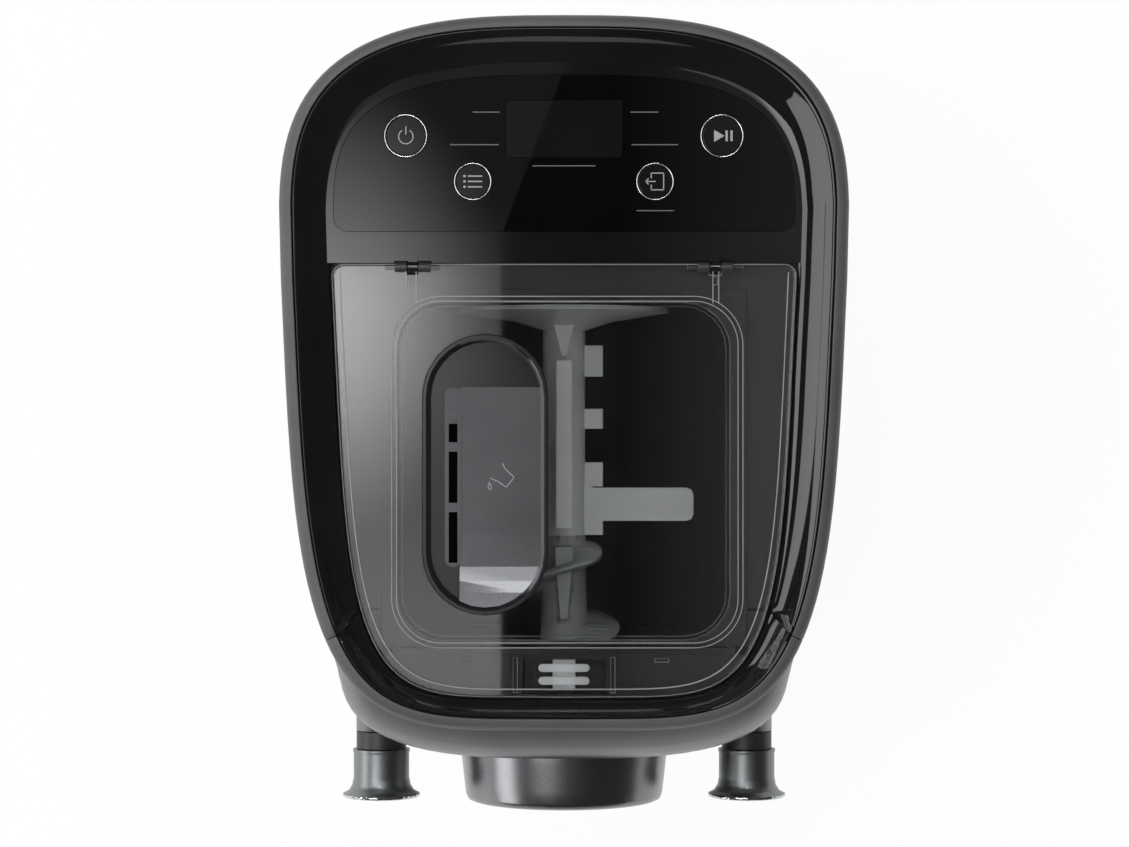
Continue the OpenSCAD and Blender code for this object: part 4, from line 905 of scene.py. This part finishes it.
    def mouth_lines(self) -> None:
        """Mould the double line round the opening over the chamber, pale as a painted highlight."""
        wide, thick = self.mouth_line
        lines = []
        for inset in (0.0, self.mouth_gap):
            left, right = self.mouth_x[0] + inset, self.mouth_x[1] - inset
            front, back = self.mouth_y[0] + inset, self.mouth_y[1] - inset
            radius = self.mouth_radius - inset
            for x, y, start in (
                (right - radius, back - radius, 90),
                (left + radius, back - radius, 180),
                (left + radius, front + radius, 270),
                (right - radius, front + radius, 360),
            ):
                centre = (x * MM, y * MM, self.top - self.sunk)
                lines.append(Bench.arc(centre, radius * MM, wide, thick, start, 90, 16))
            across, along = (right - left - 2 * radius) * MM, (back - front - 2 * radius) * MM
            for x, y, size in (
                ((left + right) / 2, back, (across, wide, thick)),
                ((left + right) / 2, front, (across, wide, thick)),
                (left, (front + back) / 2, (wide, along, thick)),
                (right, (front + back) / 2, (wide, along, thick)),
            ):
                lines.append(Bench.bar((x * MM, y * MM, self.top + self.lift), size))
        self.fit(Bench.join(lines, "lid_mouth_lines"), Finishes.LID_EDGE_HIGHLIGHT)

    def fit(self, piece: Piece, finish: Finishes) -> None:
        """Give a new piece its finish and let it ride on the lid."""
        Bench.coat(piece, finish)
        self.adopt(piece, BODY_OF["lid"], SLOT_OF["lid"])

    def well(self) -> None:
        """Finish the pouring well, paint its plate and ramp and print its mark."""
        well = self.refine("pouring_well", Finishes.WELL, angle=9.0)
        low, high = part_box("pouring_well")
        floor = high.z - self.well_depth
        slit = low.x + self.slit_reach

        def on_plate(face: Face) -> bool:
            """Tell whether a face belongs to the plate beside the slit or to its ramp."""
            middle = face.calc_center_median()
            level = floor + 0.35 * MM < middle.z < floor + self.well_rise
            return face.normal.z > 0.5 and middle.x > slit and level

        Bench.paint(well, Finishes.WELL_FLOOR, on_plate)
        self.pour_mark(floor + 0.5 * MM)

    def pour_mark(self, height: float) -> None:
        """Print a small tipped jug and a drop on the well's floor.

        Args:
            height: of the floor under the mark.
        """
        jug = [(-26.5, -19.7), (-25.6, -21.8), (-21.6, -25.6), (-25.0, -29.9), (-28.6, -27.4), (-31.8, -26.0)]
        drop = [(-32.3, -27.6), (-33.0, -29.6), (-32.2, -31.0), (-31.3, -30.2), (-32.3, -27.6)]
        strokes = []
        for points in (jug, drop):
            for (x0, y0), (x1, y1) in zip(points, points[1:]):
                length = math.hypot(x1 - x0, y1 - y0) + 0.35
                turn = math.degrees(math.atan2(y1 - y0, x1 - x0))
                middle = ((x0 + x1) / 2 * MM, (y0 + y1) / 2 * MM, height + 0.03 * MM)
                strokes.append(Bench.bar(middle, (length * MM, 0.42 * MM, 0.06 * MM), turn))
        self.fit(Bench.join(strokes, "pour_mark"), Finishes.PRINT)


@dataclass
class Chamber(SubAssembly):
    """Mixing chamber, kneading shaft and screw."""

    def build(self) -> None:
        """Finish the chamber and what turns in it."""
        self.refine("mixing_chamber", Finishes.CHAMBER, 0.5 * MM)
        self.refine("kneading_shaft", Finishes.KNEADER, 0.8 * MM, 32.0, 3)
        self.refine("auger_screw", Finishes.SCREW, angle=38.0)
        self.dress(Finishes.SEAL_RED, "shaft_seal")
        self.dress(Finishes.STEEL, "output_shaft")


@dataclass
class Front(SubAssembly):
    """Removable front with the extruding tube, locking ring and knobs."""

    def build(self) -> None:
        """Finish the front's shells, the ring and both knobs."""
        self.refine("front_panel", Finishes.FRONT, angle=40.0)
        self.refine("front_rim", Finishes.SHELL, angle=34.0)
        bezel = self.refine("front_bezel", Finishes.GLOSS_DECK, angle=40.0)
        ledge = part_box("lid_tray")[1].z + 0.5 * MM
        Bench.paint(bezel, Finishes.CHAMBER, lambda face: face.calc_center_median().z < ledge)
        self.refine("latch_plate", Finishes.LATCH, 0.3 * MM)
        self.refine("locking_ring", Finishes.RING, angle=40.0)
        self.refine("shaping_disc", Finishes.DISC, 0.3 * MM, 40.0)
        self.dress(Finishes.CHAMBER, "chamber_door", "extruding_tube")
        self.dress(Finishes.SEAL, "door_seal")
        for side in ("left", "right"):
            self.refine(f"{side}_collar", Finishes.BLACK, 0.3 * MM, 40.0)
            self.knob(f"{side}_knob")
            self.dress(Finishes.STEEL, f"{side}_stud")

    def knob(self, name: str) -> None:
        """Finish one knob and plate the edge of its flange."""
        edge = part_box(name)[0].y + 1.7 * MM

        def on_flange(face: Face) -> bool:
            """Tell whether a face belongs to the flange's edge."""
            return max(vertex.co.y for vertex in face.verts) < edge and abs(face.normal.y) < 0.95

        Bench.paint(self.refine(name, Finishes.KNOB, angle=40.0), Finishes.CHROME, on_flange)


@dataclass
class Drive(SubAssembly):
    """Motor, gears, gearbox and electronics behind the chamber."""

    def build(self) -> None:
        """Dress the drive and the boards."""
        self.dress(Finishes.PLATE, "gearbox_plate")
        self.dress(Finishes.BLACK, "gearbox_cover", "motor_fan", "safety_switches")
        self.dress(Finishes.STEEL, "gear_axles", "bearings", "motor_shaft", "motor_pinion", "output_gear")
        self.dress(Finishes.NYLON, "first_gear", "second_gear")
        self.dress(Finishes.MOTOR, "motor_case")
        self.dress(Finishes.MAGNET, "motor_magnets")
        self.dress(Finishes.COPPER, "motor_armature")
        self.dress(Finishes.SOLDER_MASK, "control_board", "power_board")
        self.dress(Finishes.DISPLAY, "lcd_module")
        self.dress(Finishes.CABLE, "ribbon_cable")


# ---------------------------------------------------------------- studio


@dataclass
class Studio:
    """Floor, lights and camera, placed as for the photograph.

    Attributes:
        top: height of the machine's rim.
        reach: distance from the camera to the rim.
        middle: where the camera's axis meets the frame, along Y.
        across: width of the picture at the rim's height.
        sensor: width of the camera's sensor in millimetres.
        card_height: height of the glowing cards.
        soft: strength of the world's even light on matt surfaces.
        mirrored: strength of the world as a mirror shows it.
    """

    top: float = CAD_BOX[1][2]
    reach: float = 1.25
    middle: float = -0.0023
    across: float = 1129 * 0.4265 * MM
    sensor: float = 36.0
    card_height: float = 3.0
    soft: float = 0.7
    mirrored: float = 0.06

    def build(self) -> None:
        """Set up everything that isn't the machine."""
        bpy.context.scene.view_settings.view_transform = "Standard"
        self.camera()
        self.floor()
        self.world()
        self.cards()
        self.lamp("left_wall", (-2.2, -0.05, 0.98), (0.0, -0.05, 0.5), (3.3, 0.95), 30.0)
        self.lamp("back_high", (-0.1, 1.2, 2.75), (0.0, -0.06, 0.28), (0.7, 0.6), 14.0)
        self.lamp("front_low", (-0.2, -2.6, 0.62), (0.0, 0.0, 0.28), (3.2, 0.35), 3.0)

    def cards(self) -> None:
        """Hang two cards edge to edge, the left one bright and the right one faint.

        The bent edge between them draws the slanting line on the panel and the upright one on the lid.
        """
        near, bend, far = (-0.086, -0.9), (-0.086, 0.252), (0.33, 1.35)
        left = [near, bend, far, (-0.9, 1.75), (-2.0, 0.9), (-2.0, -0.9)]
        self.card("left_card", left, self.left_level)
        self.card("right_card", [near, (0.9, -0.9), (0.9, 1.35), far, bend], self.right_level)

    def card(
        self, name: str, corners: Sequence[tuple[float, float]], level: Callable[[Tree, Socket], Socket]
    ) -> None:
        """Hang a glowing card high above the machine.

        Args:
            name: the card's name.
            corners: its outline as x and y.
            level: adds the nodes that give its brightness, from the tree and Object coordinates.
        """
        Bench.clear()
        bpy.ops.mesh.primitive_circle_add(vertices=len(corners), location=(0, 0, 0), fill_type="NGON")
        card = bpy.context.object
        for vertex, (x, y) in zip(card.data.vertices, corners, strict=True):
            vertex.co = (x, y, self.card_height)
        card.name = name
        material = bpy.data.materials.new(f"{name}_glow")
        tree = bare_tree(material)
        out = add_node(tree, "ShaderNodeOutputMaterial")
        place = add_node(tree, "ShaderNodeTexCoord").outputs["Object"]
        glow = add_node(tree, "ShaderNodeEmission", links={"Strength": level(tree, place)})
        tree.links.new(glow.outputs[0], out.inputs["Surface"])
        card.data.materials.append(material)

    def left_level(self, tree: Tree, place: Socket) -> Socket:
        """Give a soft bright spot over a level that falls towards the back and rises at the far left."""
        settings = {"Location": (0.34, -0.128, -self.card_height), "Scale": (1.0, 0.8, 1.0)}
        shifted = add_node(tree, "ShaderNodeMapping", settings, {"Vector": place}).outputs[0]
        away = add_node(tree, "ShaderNodeVectorMath", {"operation": "LENGTH"}, {"Vector": shifted})
        spot = map_range(tree, away.outputs["Value"], (0.0, 0.28), (3.9, 0.0), "SMOOTHSTEP")
        split = add_node(tree, "ShaderNodeSeparateXYZ", links={"Vector": place}).outputs
        base = map_range(tree, split["Y"], (-0.25, 0.3), (1.15, 0.18))
        far = map_range(tree, split["X"], (-0.8, -0.5), (3.2, 0.0))
        return combine(tree, "ADD", combine(tree, "ADD", base, spot), far)

    def right_level(self, tree: Tree, place: Socket) -> Socket:
        """Give a faint level that rises to the right."""
        across = add_node(tree, "ShaderNodeSeparateXYZ", links={"Vector": place}).outputs["X"]
        return map_range(tree, across, (0.08, 0.4), (0.03, 0.34))

    def camera(self) -> None:
        """Look straight down from the photograph's distance, the machine's front at the bottom."""
        data = bpy.data.cameras.new("photo_camera")
        data.sensor_fit = "HORIZONTAL"
        data.sensor_width = self.sensor
        data.lens = self.sensor * self.reach / self.across
        data.clip_end = 20.0
        camera = bpy.data.objects.new("photo_camera", data)
        camera.location = (0.2 * MM, self.middle, self.top + self.reach)
        bpy.context.scene.collection.objects.link(camera)
        bpy.context.scene.camera = camera

    def floor(self) -> None:
        """Lay a white sweep under the machine that keeps its soft shadow."""
        Bench.clear()
        bpy.ops.mesh.primitive_plane_add(size=12.0, location=(0, 0, -0.5 * MM))
        plane = bpy.context.object
        plane.name = "studio_floor"
        material = bpy.data.materials.new("floor_white_paper")
        tree = bare_tree(material)
        out = add_node(tree, "ShaderNodeOutputMaterial")
        paper = add_node(tree, "ShaderNodeBsdfDiffuse", {"Color": linear("ececec")})
        glow = add_node(tree, "ShaderNodeEmission", {"Color": WHITE, "Strength": 1.0})
        path = add_node(tree, "ShaderNodeLightPath").outputs
        share = map_range(tree, path["Is Camera Ray"], (0.0, 1.0), (0.6, 0.93))
        tree.links.new(mix(tree, share, paper, glow).outputs[0], out.inputs["Surface"])
        plane.data.materials.append(material)

    def world(self) -> None:
        """Fill the room with soft light, white to the camera and through glass, dark in a mirror."""
        world = bpy.data.worlds.new("studio_world")
        bpy.context.scene.world = world
        tree = bare_tree(world)
        out = add_node(tree, "ShaderNodeOutputWorld")
        soft, dark, white = (
            add_node(tree, "ShaderNodeBackground", {"Color": WHITE, "Strength": strength})
            for strength in (self.soft, self.mirrored, 1.0)
        )
        path = add_node(tree, "ShaderNodeLightPath").outputs
        glossy, through = path["Is Glossy Ray"], path["Is Transmission Ray"]
        room = mix(tree, combine(tree, "SUBTRACT", glossy, through, clamp=True), soft, dark)
        seen = combine(tree, "MAXIMUM", path["Is Camera Ray"], through)
        tree.links.new(mix(tree, seen, room, white).outputs[0], out.inputs["Surface"])

    @staticmethod
    def lamp(name: str, place: Point, target: Point, size: Span, power: float) -> None:
        """Hang one rectangular softbox that faces a target, its power in watts."""
        data = bpy.data.lights.new(name, "AREA")
        data.shape = "RECTANGLE"
        data.size, data.size_y = size
        data.energy = power
        lamp = bpy.data.objects.new(name, data)
        aim = (Vector(target) - Vector(place)).to_track_quat("-Z", "Y").to_matrix().to_4x4()
        lamp.matrix_world = Matrix.Translation(place) @ aim
        bpy.context.scene.collection.objects.link(lamp)


def main() -> None:
    """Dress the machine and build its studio."""
    logging.basicConfig(level=logging.INFO, format="%(message)s")
    Studio().build()
    for assembly in (Shell(), Deck(), Lid(), Chamber(), Front(), Drive()):
        assembly.build()
        assembly.report()


if __name__ == "__main__":
    main()
